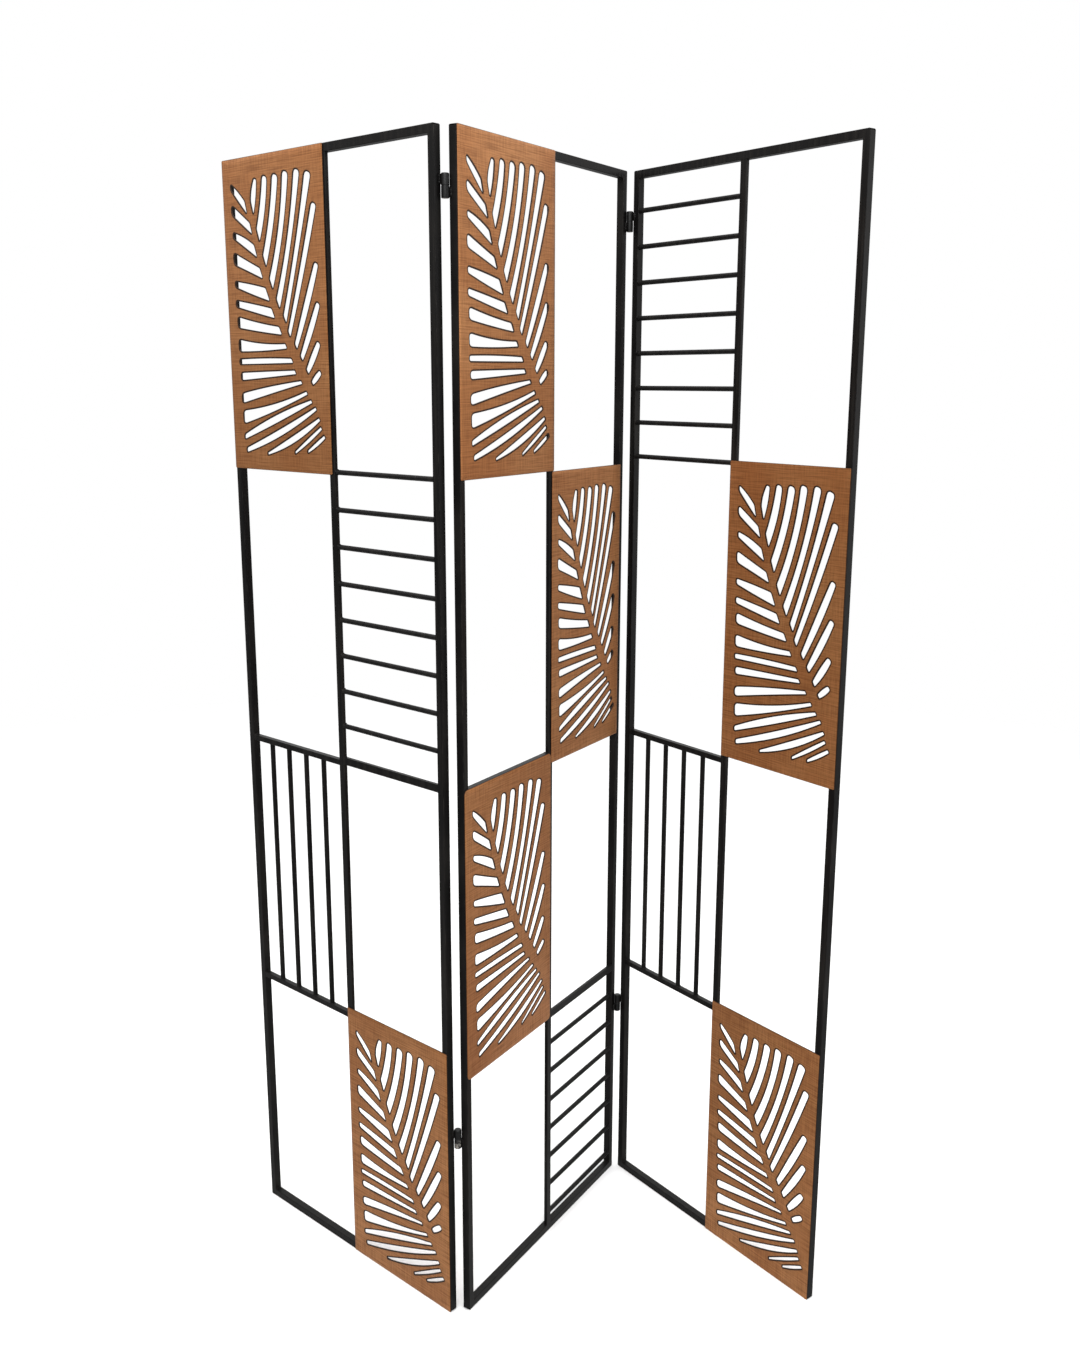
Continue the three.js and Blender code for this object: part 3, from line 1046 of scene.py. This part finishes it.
@dataclass(frozen=True)
class Frond:
    """The palm frond, as the outlines of its leaflets on its own plate."""

    width: float = 234.0
    height: float = 466.0
    rib_from: float = 80.0
    rib_lean: float = 0.28
    rib_bend: float = 0.00158  # how much the rib's lean grows for each millimetre down
    spread: float = 0.6  # how far each cut stands outside the table's sizes, all round
    side_steps: int = 13
    corner_steps: int = 4
    tip_round: float = 6.0
    tip_run: float = 1.15  # how far back a tip's rounding begins, in tip radii
    root_round: float = 2.6
    least_root_round: float = 0.5

    def leaflets(self, rows: Array, on_left: bool) -> Array:
        """Outlines of the leaflets on one side of the rib.

        The centre line is a quadratic curve from the rib to the far end. The width is the
        quadratic through its three values, set off half to each side in a direction that turns
        from along the rib to upright (left) or to square with the leaflet (right). The four
        corners are rounded with quadratic curves.

        Args:
            rows: The leaflets' sizes, one a row.
            on_left: Whether they are left of the rib.

        Returns:
            Closed outlines, (leaflets, points, 2), right and down from the plate's top left.
        """
        root, end = rows[:, 0:2], rows[:, 2:4]
        root_width, middle_width, end_width, bow = rows[:, 4:].T
        slope = self.rib_lean + self.rib_bend * (root[:, 1] - self.rib_from)
        along_rib = unit(np.stack([slope, np.ones_like(slope)], -1))
        chord = unit(end - root)
        root, end = root - self.spread * chord, end + self.spread * chord
        square = np.stack([-chord[:, 1], chord[:, 0]], -1) * (-1 if on_left else 1)
        middle = (root + end) / 2 + 2 * bow[:, None] * square
        far_across = np.array([[0.0, 1.0]]) if on_left else square
        length = np.linalg.norm(end - root, axis=1)

        def edge(share: Array, sign: float) -> Array:
            """Points of one long edge at the given shares, (leaflets, points)."""
            t = share[..., None]
            across = unit((1 - t) * along_rib[:, None] + t * far_across[:, None])
            width = (
                root_width[:, None] * (1 - share) * (1 - 2 * share)
                + 4 * middle_width[:, None] * share * (1 - share)
                + end_width[:, None] * share * (2 * share - 1)
            )
            centre = quadratic(root, middle, end, share)
            return centre + sign * across * (width[..., None] / 2 + self.spread)

        tip = np.minimum(self.tip_round, 0.5 * end_width)
        base = np.clip(0.3 * root_width, self.least_root_round, self.root_round)
        first, last = base / length, 1 - np.minimum(tip * self.tip_run, 0.2 * length) / length
        share = first[:, None] + (last - first)[:, None] * np.linspace(0, 1, self.side_steps)
        ends = np.array([[0.0, 1.0]]) * np.ones((len(rows), 1))
        one, other = edge(share, 1.0), edge(share, -1.0)
        one_corner, other_corner = edge(ends, 1.0), edge(ends, -1.0)
        tip_side = unit(other_corner[:, 1] - one_corner[:, 1]) * tip[:, None]
        base_side = unit(one_corner[:, 0] - other_corner[:, 0]) * base[:, None]
        t = np.linspace(0, 1, self.corner_steps + 1)
        tip_one = quadratic(one[:, -1], one_corner[:, 1], one_corner[:, 1] + tip_side, t)
        tip_other = quadratic(other_corner[:, 1] - tip_side, other_corner[:, 1], other[:, -1], t)
        base_other = quadratic(other[:, 0], other_corner[:, 0], other_corner[:, 0] + base_side, t)
        base_one = quadratic(one_corner[:, 0] - base_side, one_corner[:, 0], one[:, 0], t)
        # Where an end is fully round, its two curves meet in one point, so that is kept once.
        return np.concatenate(
            [one[:, :-1], tip_one[:, :-1], tip_other, other[:, -2:0:-1], base_other, base_one[:, 1:-1]],
            axis=1,
        )

    def outlines(self, width: float, height: float) -> Array:
        """Every leaflet on a plate of the given size.

        Args:
            width: Width of the plate.
            height: Height of the plate.

        Returns:
            Closed outlines, (leaflets, points, 2), right and up from the plate's bottom left,
            anticlockwise.
        """
        drawn = np.concatenate(
            [self.leaflets(LEFT_LEAFLETS, True), self.leaflets(RIGHT_LEAFLETS, False)[:, ::-1]]
        )
        placed = drawn * [width / self.width, -height / self.height] + [0.0, height]
        return placed if turning(placed[0]) > 0 else placed[:, ::-1]


def turning(outline: Array) -> float:
    """Twice the area of a closed outline, positive if it runs anticlockwise."""
    onward = np.roll(outline, -1, axis=0)
    return float(np.sum(outline[:, 0] * onward[:, 1] - outline[:, 1] * onward[:, 0]))


def outward(outlines: Array) -> Array:
    """Unit direction out of each closed anticlockwise outline, at each of its points."""
    tangent = unit(np.roll(outlines, -1, axis=-2) - np.roll(outlines, 1, axis=-2))
    return np.stack([tangent[..., 1], -tangent[..., 0]], -1)


def distance_to(points: Array, outlines: Array) -> Array:
    """Distance of each point to the nearest of some closed outlines.

    The nearest point of the edge from a to b is a + t (b - a), where t is the share
    (p - a).(b - a) / |b - a|^2 held between 0 and 1.

    Args:
        points: The points, (n, 2).
        outlines: The outlines, (outlines, points, 2).

    Returns:
        The distances, (n,).
    """
    start = outlines.reshape(-1, 2)
    step = (np.roll(outlines, -1, axis=1) - outlines).reshape(-1, 2)
    square = np.maximum((step**2).sum(1), 1e-12)
    blocks = []
    for block in np.array_split(points, max(1, len(points) // 500)):
        gap = block[:, None] - start
        share = np.clip((gap * step).sum(-1) / square, 0, 1)
        off = gap - share[..., None] * step
        blocks.append(np.sqrt((off**2).sum(-1).min(1)))
    return np.concatenate(blocks)


def inside(points: Array, outlines: Array) -> Array:
    """Whether each point is inside its own outline, by the edges that a ray to its right crosses.

    Args:
        points: One point for each outline, (n, 2).
        outlines: The outlines, (n, points, 2).

    Returns:
        True or false for each point.
    """
    onward = np.roll(outlines, -1, axis=1)
    x, y = points[:, None, 0], points[:, None, 1]
    spans = (outlines[..., 1] > y) != (onward[..., 1] > y)
    rise = onward[..., 1] - outlines[..., 1]
    crossing = outlines[..., 0] + (y - outlines[..., 1]) * (onward[..., 0] - outlines[..., 0]) / (
        np.where(rise == 0, 1.0, rise)
    )
    return (spans & (x < crossing)).sum(1) % 2 == 1


@dataclass
class PalmPlate:
    """A sheet with the frond cut through it, in front of its panel's frame."""

    side: Side
    node: str
    lacquer: bpy.types.Material
    corner_radius: float = 2.5
    stand_off: float = 0.02  # from the frame's front to the sheet's back
    cut_edge: float = 0.25  # rounding of the cuts' edges
    outer_edge: float = 0.4  # rounding of the sheet's own edge
    painted_edge_shade: float = 1.7  # painted shade: the border is as dark as a cut's surround at this distance
    corner_steps: int = 6
    crisp_deg: float = 14.0  # the flat face stays flat up to its rounded edges
    ring_steps: tuple[float, ...] = (1.0, 1.9, 2.8)  # rings of points round each cut
    ring_room: float = 0.3  # a ring's edge is kept where this much beyond it is free
    grid: float = 11.0  # spacing of the points between the cuts

    def border(self, width: float, height: float) -> Array:
        """Outline of the sheet, anticlockwise, with its corners rounded."""
        section, _ = rounded_bar(width, height, self.corner_radius, self.corner_steps)
        return section + [width / 2, height / 2]

    def front_points(
        self, border: Array, cuts: Array, width: float, height: float
    ) -> tuple[Array, Array, Array]:
        """Loose points between the cuts.

        Rings of points follow each cut, and a ring's edges are kept wherever no other ring comes
        near, so that the distance from the cut changes evenly across them.

        Args:
            border: Outline of the sheet.
            cuts: Outlines of the cuts.
            width: Width of the sheet.
            height: Height of the sheet.

        Returns:
            The points, their distances from the nearest cut, and the rings' edges.
        """
        rings, clear = [], []
        for step in self.ring_steps:
            rings.append((cuts + step * outward(cuts)).reshape(-1, 2))
            beyond = (cuts + (step + self.ring_room) * outward(cuts)).reshape(-1, 2)
            clear.append(distance_to(beyond, cuts) > step + self.ring_room - 0.05)
        clear = np.concatenate(clear)
        number = np.arange(cuts[..., 0].size).reshape(cuts.shape[:2])
        onward = np.stack([number, np.roll(number, -1, axis=1)], -1).reshape(-1, 2)
        edges = np.concatenate([onward + k * number.size for k in range(len(rings))])
        hem = border - self.ring_steps[-1] * outward(border[None])[0]
        across = np.arange(self.grid / 2, width, self.grid)
        up = np.arange(self.grid / 2, height, self.grid)
        grid = np.stack(np.meshgrid(across, up), -1).reshape(-1, 2)
        points = np.concatenate([*rings, hem, grid])
        least = np.concatenate(
            [np.full(len(ring), 0.96 * step) for ring, step in zip(rings, self.ring_steps)]
            + [np.full(len(hem) + len(grid), 1.4 * self.ring_steps[-1])]
        )
        from_cut = distance_to(points, cuts)
        from_border = distance_to(points, border[None])
        index = np.zeros(len(points), int)
        in_sheet = inside(points, border[None][index])
        in_cut = np.any([inside(points, cut[None][index]) for cut in cuts], axis=0)
        kept = (from_cut > least) & (from_border > 2 * self.outer_edge) & in_sheet & ~in_cut
        whole = (kept[edges] & clear[edges]).all(1)
        return points[kept], from_cut[kept], (np.cumsum(kept) - 1)[edges[whole]]

    def build(self) -> None:
        """Makes the sheet.

        The front is a flat web of triangles between the border and the cuts, the back is the same
        web, and each outline is carried from front to back round a profile with rounded edges.
        """
        box = PLANES[self.side].extent(self.node)
        width, thickness, height = box.high - box.low
        border = self.border(width, height)
        cuts = FROND.outlines(width, height)
        inner_border = border - self.outer_edge * outward(border)
        outer_cuts = cuts + self.cut_edge * outward(cuts)
        loose, loose_from_cut, rings = self.front_points(border, cuts, width, height)
        flat = np.concatenate([inner_border, outer_cuts.reshape(-1, 2), loose])
        loops = [np.arange(len(border))]
        firsts = len(border) + np.arange(len(cuts)) * cuts.shape[1]
        loops += [first + np.arange(cuts.shape[1]) for first in firsts]
        edges = [np.stack([loop, np.roll(loop, -1)], 1) for loop in loops]
        edges = np.concatenate([*edges, rings + len(flat) - len(loose)])
        web = self.web(flat, edges, firsts, outer_cuts)

        count = len(flat)
        front = np.full(count, -self.stand_off - thickness)
        back = np.full(count, -self.stand_off)
        # The border's points take a small distance too, so that a line of painted shade runs along it.
        from_cut = np.concatenate(
            [np.full(len(border), self.painted_edge_shade), np.full(cuts[..., 0].size, self.cut_edge), loose_from_cut]
        )
        points = [np.stack([flat[:, 0], w, flat[:, 1]], -1) for w in (front, back)]
        faces = [web, web[:, ::-1] + count]
        marks = [from_cut, from_cut]
        total = 2 * count
        # The walls are painted dark: painted shade on the border's wall, painted shade with the laser's
        # burn on the cuts' walls.
        for outline, first, edge, sign, mark in (
            (border[None], np.array([0]), self.outer_edge, -1.0, self.painted_edge_shade / 2),
            (cuts, firsts, self.cut_edge, 1.0, 0.0),
        ):
            rim, strips = self.rim(outline, first, edge, sign, thickness, count, total)
            points.append(rim)
            faces.append(strips)
            marks.append(np.full(len(rim), mark))
            total += len(rim)
        moved = np.concatenate(points) + [box.low[0], 0.0, box.low[2]]
        shell = Shell(moved, faces, {"from_cut": np.concatenate(marks)})
        name = f"{self.node}_sheet"
        add_piece(name, [shell], self.side, self.lacquer, [self.node], self.crisp_deg)

    def web(self, flat: Array, edges: Array, firsts: Array, cuts: Array) -> Array:
        """Triangles of the sheet's flat face.

        A triangle whose three points lie on one cut may be the cut itself, so it is left out if
        its middle is inside that cut.

        Args:
            flat: Every point of the face, (n, 2).
            edges: The edges of the border and the cuts.
            firsts: The first point of each cut.
            cuts: The cuts' outlines as they meet the face.

        Returns:
            Three point numbers a triangle.
        """
        found = delaunay_2d_cdt(flat.tolist(), edges.tolist(), [], 0, 1e-6)
        source = np.array([origins[0] for origins in found[3]])
        triangles = source[np.array(found[2])]
        around = cuts.shape[1]
        owner = np.full(len(flat), -1)
        owner[firsts[0] : firsts[-1] + around] = np.repeat(np.arange(len(cuts)), around)
        owners = owner[triangles]
        same = (owners == owners[:, :1]).all(1) & (owners[:, 0] >= 0)
        middles = flat[triangles[same]].mean(1)
        hollow = np.zeros(len(triangles), bool)
        hollow[same] = inside(middles, cuts[owners[same, 0]])
        return triangles[~hollow]

    def rim(
        self,
        outlines: Array,
        firsts: Array,
        edge: float,
        sign: float,
        thickness: float,
        count: int,
        start: int,
    ) -> tuple[Array, Array]:
        """Walls of some outlines of equal length.

        At the angle a of a rounded edge the wall stands edge * (1 - sin a) inside the metal and
        edge * (1 - cos a) below its face.

        Args:
            outlines: The outlines, (outlines, points, 2).
            firsts: Number of each outline's first point in the front face.
            edge: Radius of the rounded edges.
            sign: 1 where the metal is outside the outline, -1 where it is inside.
            thickness: Thickness of the sheet.
            count: Points in one face, so that the back face's numbers follow from the front's.
            start: Number of the first new point.

        Returns:
            The new points, and the faces of the walls.
        """
        angle = np.radians([30.0, 60.0, 90.0])
        inset = edge * (1 - np.sin(angle))
        depth = edge * (1 - np.cos(angle))
        inset = np.concatenate([inset, inset[::-1]])
        depth = np.concatenate([depth, thickness - depth[::-1]])
        across = outlines[:, None] + sign * inset[None, :, None, None] * outward(outlines)[:, None]
        w = -self.stand_off - thickness + depth[None, :, None]
        w = np.broadcast_to(w, across.shape[:-1])
        points = np.stack([across[..., 0], w, across[..., 1]], -1)
        number, rows, around = points.shape[:3]
        new = start + np.arange(number * rows * around).reshape(number, rows, around)
        front = firsts[:, None, None] + np.arange(around)
        ladder = np.concatenate([front, new, front + count], axis=1)
        onward = np.roll(ladder, -1, axis=2)
        strips = np.stack([ladder[:, :-1], onward[:, :-1], onward[:, 1:], ladder[:, 1:]], -1)
        return points.reshape(-1, 3), strips.reshape(-1, 4)


FROND = Frond()


# ---- Hinges ----------------------------------------------------------------------------------


@dataclass
class LiftOffHinge:
    """A welded barrel hinge: a knuckle with a pin below, and a knuckle that drops over it."""

    wing: Side  # the outer panel that it carries
    place: str
    steel: bpy.types.Material
    coat: bpy.types.Material
    radius: float = 5.5
    knuckle: float = 15.75  # height of each knuckle
    knuckle_gap: float = 0.5
    dome: float = 1.5  # height of a knuckle's rounded end
    lip: float = 0.35  # chamfer of its flat end
    sides: int = 32
    pin_radius: float = 2.5
    pin_reach: float = 12.0
    pin_point: float = 1.0  # chamfer of the pin's tip
    bore: float = 2.75
    bore_spare: float = 1.0  # how much further the bore reaches than the pin
    washer_inset: float = 0.4
    washer_play: float = 0.02
    leg: float = 3.0  # thickness of the leg that runs to the stile
    leg_radius: float = 0.6
    root_bead: float = 1.6  # in the corner between the leg and the stile
    cheek_bead: float = 2.5  # beside the knuckle
    flank_bead: float = 2.4  # on the stile
    uneven: float = 0.3
    flank_uneven: float = 0.35
    bare_foot: float = 0.0  # height to which the foot is rubbed bare

    @property
    def node(self) -> str:
        """Start of the names of the hinge's two CAD nodes."""
        return f"{self.wing.value}_hinge_{self.place}"

    def axis(self, side: Side) -> Array:
        """Place of the pin's axis in a panel's plane, at the floor."""
        joint = next(j for j in frame["joints"] if j["child"] == self.wing.body)
        place = PLANES[side].local(np.array(joint["pos_m"]) / MM)
        return np.array([place[0], place[1], 0.0])

    def build(self) -> None:
        """Makes the pin's knuckle, the washer and the socket's knuckle.

        A knuckle's end is a quarter turn of its dome: at the angle a its radius is
        radius - dome * (1 - sin a), at the height dome * (1 - cos a).
        """
        up = np.array([0.0, 0.0, 1.0])
        foot = PLANES[Side.MIDDLE].extent(f"{self.node}_pin").low[2]
        centre = self.axis(Side.MIDDLE)
        curve = np.linspace(0, math.pi / 2, 6)
        dome_r = self.radius - self.dome + self.dome * np.sin(curve)
        dome_h = self.dome * (1 - np.cos(curve))
        top = self.knuckle
        tip = top + self.pin_reach
        pin_h = np.concatenate([dome_h, [top - self.lip, top, top, tip - self.pin_point, tip]])
        pin_r = np.concatenate([
            dome_r,
            [self.radius, self.radius - self.lip, self.pin_radius, self.pin_radius],
            [self.pin_radius - self.pin_point],
        ])
        body = turned(centre + up * foot, up, pin_h, pin_r, self.sides)
        height = body.points[:, 2] - foot
        body.marks["worn"] = np.clip(2 * (1 - height / max(self.bare_foot, 0.1)), 0, 1)
        self.half(Side.MIDDLE, "pin", [body], foot)
        self.washer(centre + up * (foot + self.knuckle))

        seat = foot + self.knuckle + self.knuckle_gap
        centre = self.axis(self.wing)
        socket_h = np.concatenate(
            [top - dome_h, [self.lip, 0.0, 0.0, self.pin_reach + self.bore_spare]]
        )
        socket_r = np.concatenate(
            [dome_r, [self.radius, self.radius - self.lip, self.bore, self.bore]]
        )
        body = turned(centre + up * seat, up, socket_h, socket_r, self.sides)
        self.half(self.wing, "socket", [body], seat)

    def washer(self, seat: Array) -> None:
        """The washer between the knuckles, a ring of rectangular section.

        Args:
            seat: Place on the axis at the top of the lower knuckle.
        """
        inner, outer = self.bore - self.washer_play, self.radius - self.washer_inset
        low, high = self.washer_play, self.knuckle_gap - self.washer_play
        radius = np.array([inner, outer, outer, inner])
        height = np.array([low, low, high, high])
        angle = np.linspace(0, 2 * math.pi, self.sides, endpoint=False)
        spoke = np.stack([np.cos(angle), np.sin(angle), np.zeros_like(angle)], -1)
        rings = seat + height[:, None, None] * [0.0, 0.0, 1.0]
        rings = rings + radius[:, None, None] * spoke
        ring = Shell(rings.reshape(-1, 3), [grid_quads(4, self.sides, ring=True)])
        add_piece(f"{self.node}_washer", [ring], Side.MIDDLE, self.steel)

    def half(self, side: Side, half: str, shells: list[Shell], foot: float) -> None:
        """Adds the leg and the welds of one half, and puts it in the scene.

        Args:
            side: The panel that it is welded to.
            half: "pin" or "socket".
            shells: The knuckle.
            foot: Height of the knuckle's foot.
        """
        plane = PLANES[side]
        axis = self.axis(side)
        toward = 1.0 if axis[0] < plane.width / 2 else -1.0
        stile = 0.0 if toward > 0 else plane.width
        into = -1.0 if axis[1] > plane.depth / 2 else 1.0
        face = plane.depth if into < 0 else 0.0
        low, high = foot + self.dome, foot + self.knuckle - self.dome
        sideways, back = np.array([1.0, 0.0, 0.0]), np.array([0.0, 1.0, 0.0])
        section, worn = rounded_bar(self.leg, high - low, self.leg_radius)
        leg_w = face + into * self.leg / 2
        start = np.array([axis[0], leg_w, (low + high) / 2])
        end = np.array([stile + toward * 0.2, leg_w, (low + high) / 2])
        leg = bar(start, end, back, section, worn)
        deep = face + into * self.leg
        root = np.array([stile, deep, low + 0.5])
        crown = np.array([stile, deep, high - 0.5])
        beside = (axis[0] + stile) / 2 + toward * 0.6
        cheek = np.array([beside, face, low + 0.3])
        brow = np.array([beside, face, high - 0.3])
        flank = np.array([stile + toward * 3.2, face, low - 0.6])
        temple = np.array([stile + toward * 2.8, face, high + 0.4])
        beads = [
            weld_bead(root, crown, sideways, back, self.root_bead, self.uneven),
            weld_bead(cheek, brow, sideways, back, self.cheek_bead, self.uneven),
            weld_bead(flank, temple, sideways, back, self.flank_bead, self.flank_uneven),
        ]
        node = f"{self.node}_{half}"
        add_piece(f"{node}_knuckle", shells, side, self.steel, [node])
        add_piece(f"{node}_weld", [leg, *beads], side, self.coat)


# ---- Studio ----------------------------------------------------------------------------------


@dataclass(frozen=True)
class Viewpoint:
    """Where a standing person looks at the screen from."""

    eye_m: tuple[float, float, float] = (-0.16765, -1.9933, 1.4523)
    heading_deg: float = 5.5  # turned from +Y towards +X
    down_deg: float = 12.7
    roll_deg: float = 0.107
    lens_mm: float = 34.8
    sensor_mm: float = 36.0

    def build(self) -> None:
        """Makes the camera and gives it to the scene."""
        data = bpy.data.cameras.new("standing_eye")
        data.lens = self.lens_mm
        data.sensor_width = self.sensor_mm
        camera = bpy.data.objects.new("standing_eye", data)
        turn = Matrix.Rotation(math.radians(-self.heading_deg), 4, "Z")
        tilt = Matrix.Rotation(math.radians(90 - self.down_deg), 4, "X")
        roll = Matrix.Rotation(math.radians(self.roll_deg), 4, "Z")
        camera.matrix_world = Matrix.Translation(self.eye_m) @ turn @ tilt @ roll
        bpy.context.scene.collection.objects.link(camera)
        bpy.context.scene.camera = camera


@dataclass(frozen=True)
class SoftBox:
    """A wide soft light that points at the middle of the screen and isn't seen itself."""

    name: str
    place_m: tuple[float, float, float]
    size_m: tuple[float, float]
    power_w: float
    target_m: tuple[float, float, float] = (0.0, 0.0, 0.9)

    def build(self) -> None:
        """Makes the light."""
        data = bpy.data.lights.new(self.name, "AREA")
        data.shape = "RECTANGLE"
        data.size, data.size_y = self.size_m
        data.energy = self.power_w
        light = bpy.data.objects.new(self.name, data)
        towards = Vector(self.target_m) - Vector(self.place_m)
        turn = towards.to_track_quat("-Z", "Y").to_matrix().to_4x4()
        light.matrix_world = Matrix.Translation(self.place_m) @ turn
        light.visible_camera = False
        bpy.context.scene.collection.objects.link(light)


@dataclass(frozen=True)
class Studio:
    """A pale floor that fades into a white room, lit softly from above, in front and the right."""

    floor_size_m: float = 9.0
    floor: str = "#f2f2f2"
    fade_from_m: float = 2.4
    fade_to_m: float = 4.2
    lights: tuple[SoftBox, ...] = (
        SoftBox("overhead_soft_box", (-0.2, -0.9, 3.5), (3.4, 2.4), 90.0),
        SoftBox("front_soft_box", (-0.6, -3.6, 2.8), (2.4, 1.6), 50.0),
        SoftBox("right_soft_box", (3.2, -0.6, 1.3), (1.2, 2.2), 14.0),
    )
    level_light: tuple[float, float] = (0.19, 0.28)  # at eye level, from the left and the right
    ceiling_light: float = 1.1
    floor_light: float = 0.38

    def build(self) -> None:
        """Makes the floor, the lights and the room's own light."""
        self.make_floor()
        for light in self.lights:
            light.build()
        self.make_room()
        bpy.context.scene.view_settings.view_transform = "Standard"

    def make_floor(self) -> None:
        """A square sheet whose outer part turns clear, so that it has no visible edge."""
        half = self.floor_size_m / 2
        corners = [(-half, -half, 0.0), (half, -half, 0.0), (half, half, 0.0), (-half, half, 0.0)]
        mesh = bpy.data.meshes.new("studio_floor")
        mesh.from_pydata(corners, [], [(0, 1, 2, 3)])
        floor = bpy.data.objects.new("studio_floor", mesh)
        bpy.context.scene.collection.objects.link(floor)
        material, tree = new_material("studio_floor_paint")
        place = add_node(tree, "ShaderNodeTexCoord").outputs["Object"]
        reach = add_node(tree, "ShaderNodeVectorMath", {0: place}, operation="LENGTH")
        fade = add_node(
            tree,
            "ShaderNodeMapRange",
            {"Value": reach.outputs["Value"], "From Min": self.fade_from_m, "From Max": self.fade_to_m},
            interpolation_type="SMOOTHSTEP",
        )
        paint = add_node(tree, "ShaderNodeBsdfDiffuse", {"Color": linear(self.floor)})
        clear = add_node(tree, "ShaderNodeBsdfTransparent")
        mixed = add_node(
            tree, "ShaderNodeMixShader", {0: fade.outputs[0], 1: paint.outputs[0], 2: clear.outputs[0]}
        )
        add_node(tree, "ShaderNodeOutputMaterial", {"Surface": mixed.outputs[0]})
        mesh.materials.append(material)
        floor.visible_glossy = False  # the metal shows the room's own light instead of a white floor

    def make_room(self) -> None:
        """White walls to the eye, with the light of a room that is darkest just below eye level."""
        world = bpy.data.worlds.new("white_room")
        world.use_nodes = True
        tree = world.node_tree
        tree.nodes.clear()
        way = add_node(tree, "ShaderNodeTexCoord").outputs["Generated"]
        parts = add_node(tree, "ShaderNodeSeparateXYZ", {0: way})
        level = add_node(
            tree,
            "ShaderNodeMapRange",
            {
                "Value": parts.outputs["X"],
                "From Min": -1.0,
                "To Min": self.level_light[0],
                "To Max": self.level_light[1],
            },
        )
        above = add_node(
            tree,
            "ShaderNodeMapRange",
            {
                "Value": parts.outputs["Z"],
                "From Min": -0.05,
                "From Max": 0.24,
                "To Min": level.outputs[0],
                "To Max": self.ceiling_light,
            },
            interpolation_type="SMOOTHSTEP",
        )
        below = add_node(
            tree,
            "ShaderNodeMapRange",
            {
                "Value": parts.outputs["Z"],
                "From Min": -0.16,
                "From Max": -0.45,
                "To Max": self.floor_light,
            },
            interpolation_type="SMOOTHSTEP",
        )
        total = add_node(tree, "ShaderNodeMath", {0: above.outputs[0], 1: below.outputs[0]})
        seen = add_node(tree, "ShaderNodeBackground", {"Color": linear("#ffffff"), "Strength": 1.0})
        lit = add_node(
            tree, "ShaderNodeBackground", {"Color": linear("#ffffff"), "Strength": total.outputs[0]}
        )
        to_eye = add_node(tree, "ShaderNodeLightPath").outputs["Is Camera Ray"]
        mixed = add_node(
            tree, "ShaderNodeMixShader", {0: to_eye, 1: lit.outputs[0], 2: seen.outputs[0]}
        )
        add_node(tree, "ShaderNodeOutputWorld", {"Surface": mixed.outputs[0]})
        bpy.context.scene.world = world


# ---- The screen ------------------------------------------------------------------------------

SOFTER_CORNERS = {"middle_palm_plate_left": 8.0}  # the one plate with rounder corners
BARE_FEET = {(Side.LEFT, "lower"): 7.0}  # the one hinge whose foot is rubbed down to the steel


def main() -> None:
    """Builds the studio and the screen, a sub-assembly at a time."""
    logging.basicConfig(level=logging.INFO, format="%(name)s: %(message)s")
    Viewpoint().build()
    Studio().build()
    coat = PowderCoat().material()
    lacquer = BrushedCopperLacquer().material()
    steel = RubbedSteel().material()
    for side in Side:
        WeldedFrame(side, coat).build()
        Infill(side, coat).build()
    for side in Side:
        for node in sorted(n for n in frame["nodes"] if n.startswith(f"{side.value}_palm_plate")):
            corner = SOFTER_CORNERS.get(node, PalmPlate.corner_radius)
            PalmPlate(side, node, lacquer, corner_radius=corner).build()
    for wing in (Side.LEFT, Side.RIGHT):
        for place in ("upper", "lower"):
            bare = BARE_FEET.get((wing, place), LiftOffHinge.bare_foot)
            LiftOffHinge(wing, place, steel, coat, bare_foot=bare).build()


if __name__ == "__main__":
    main()
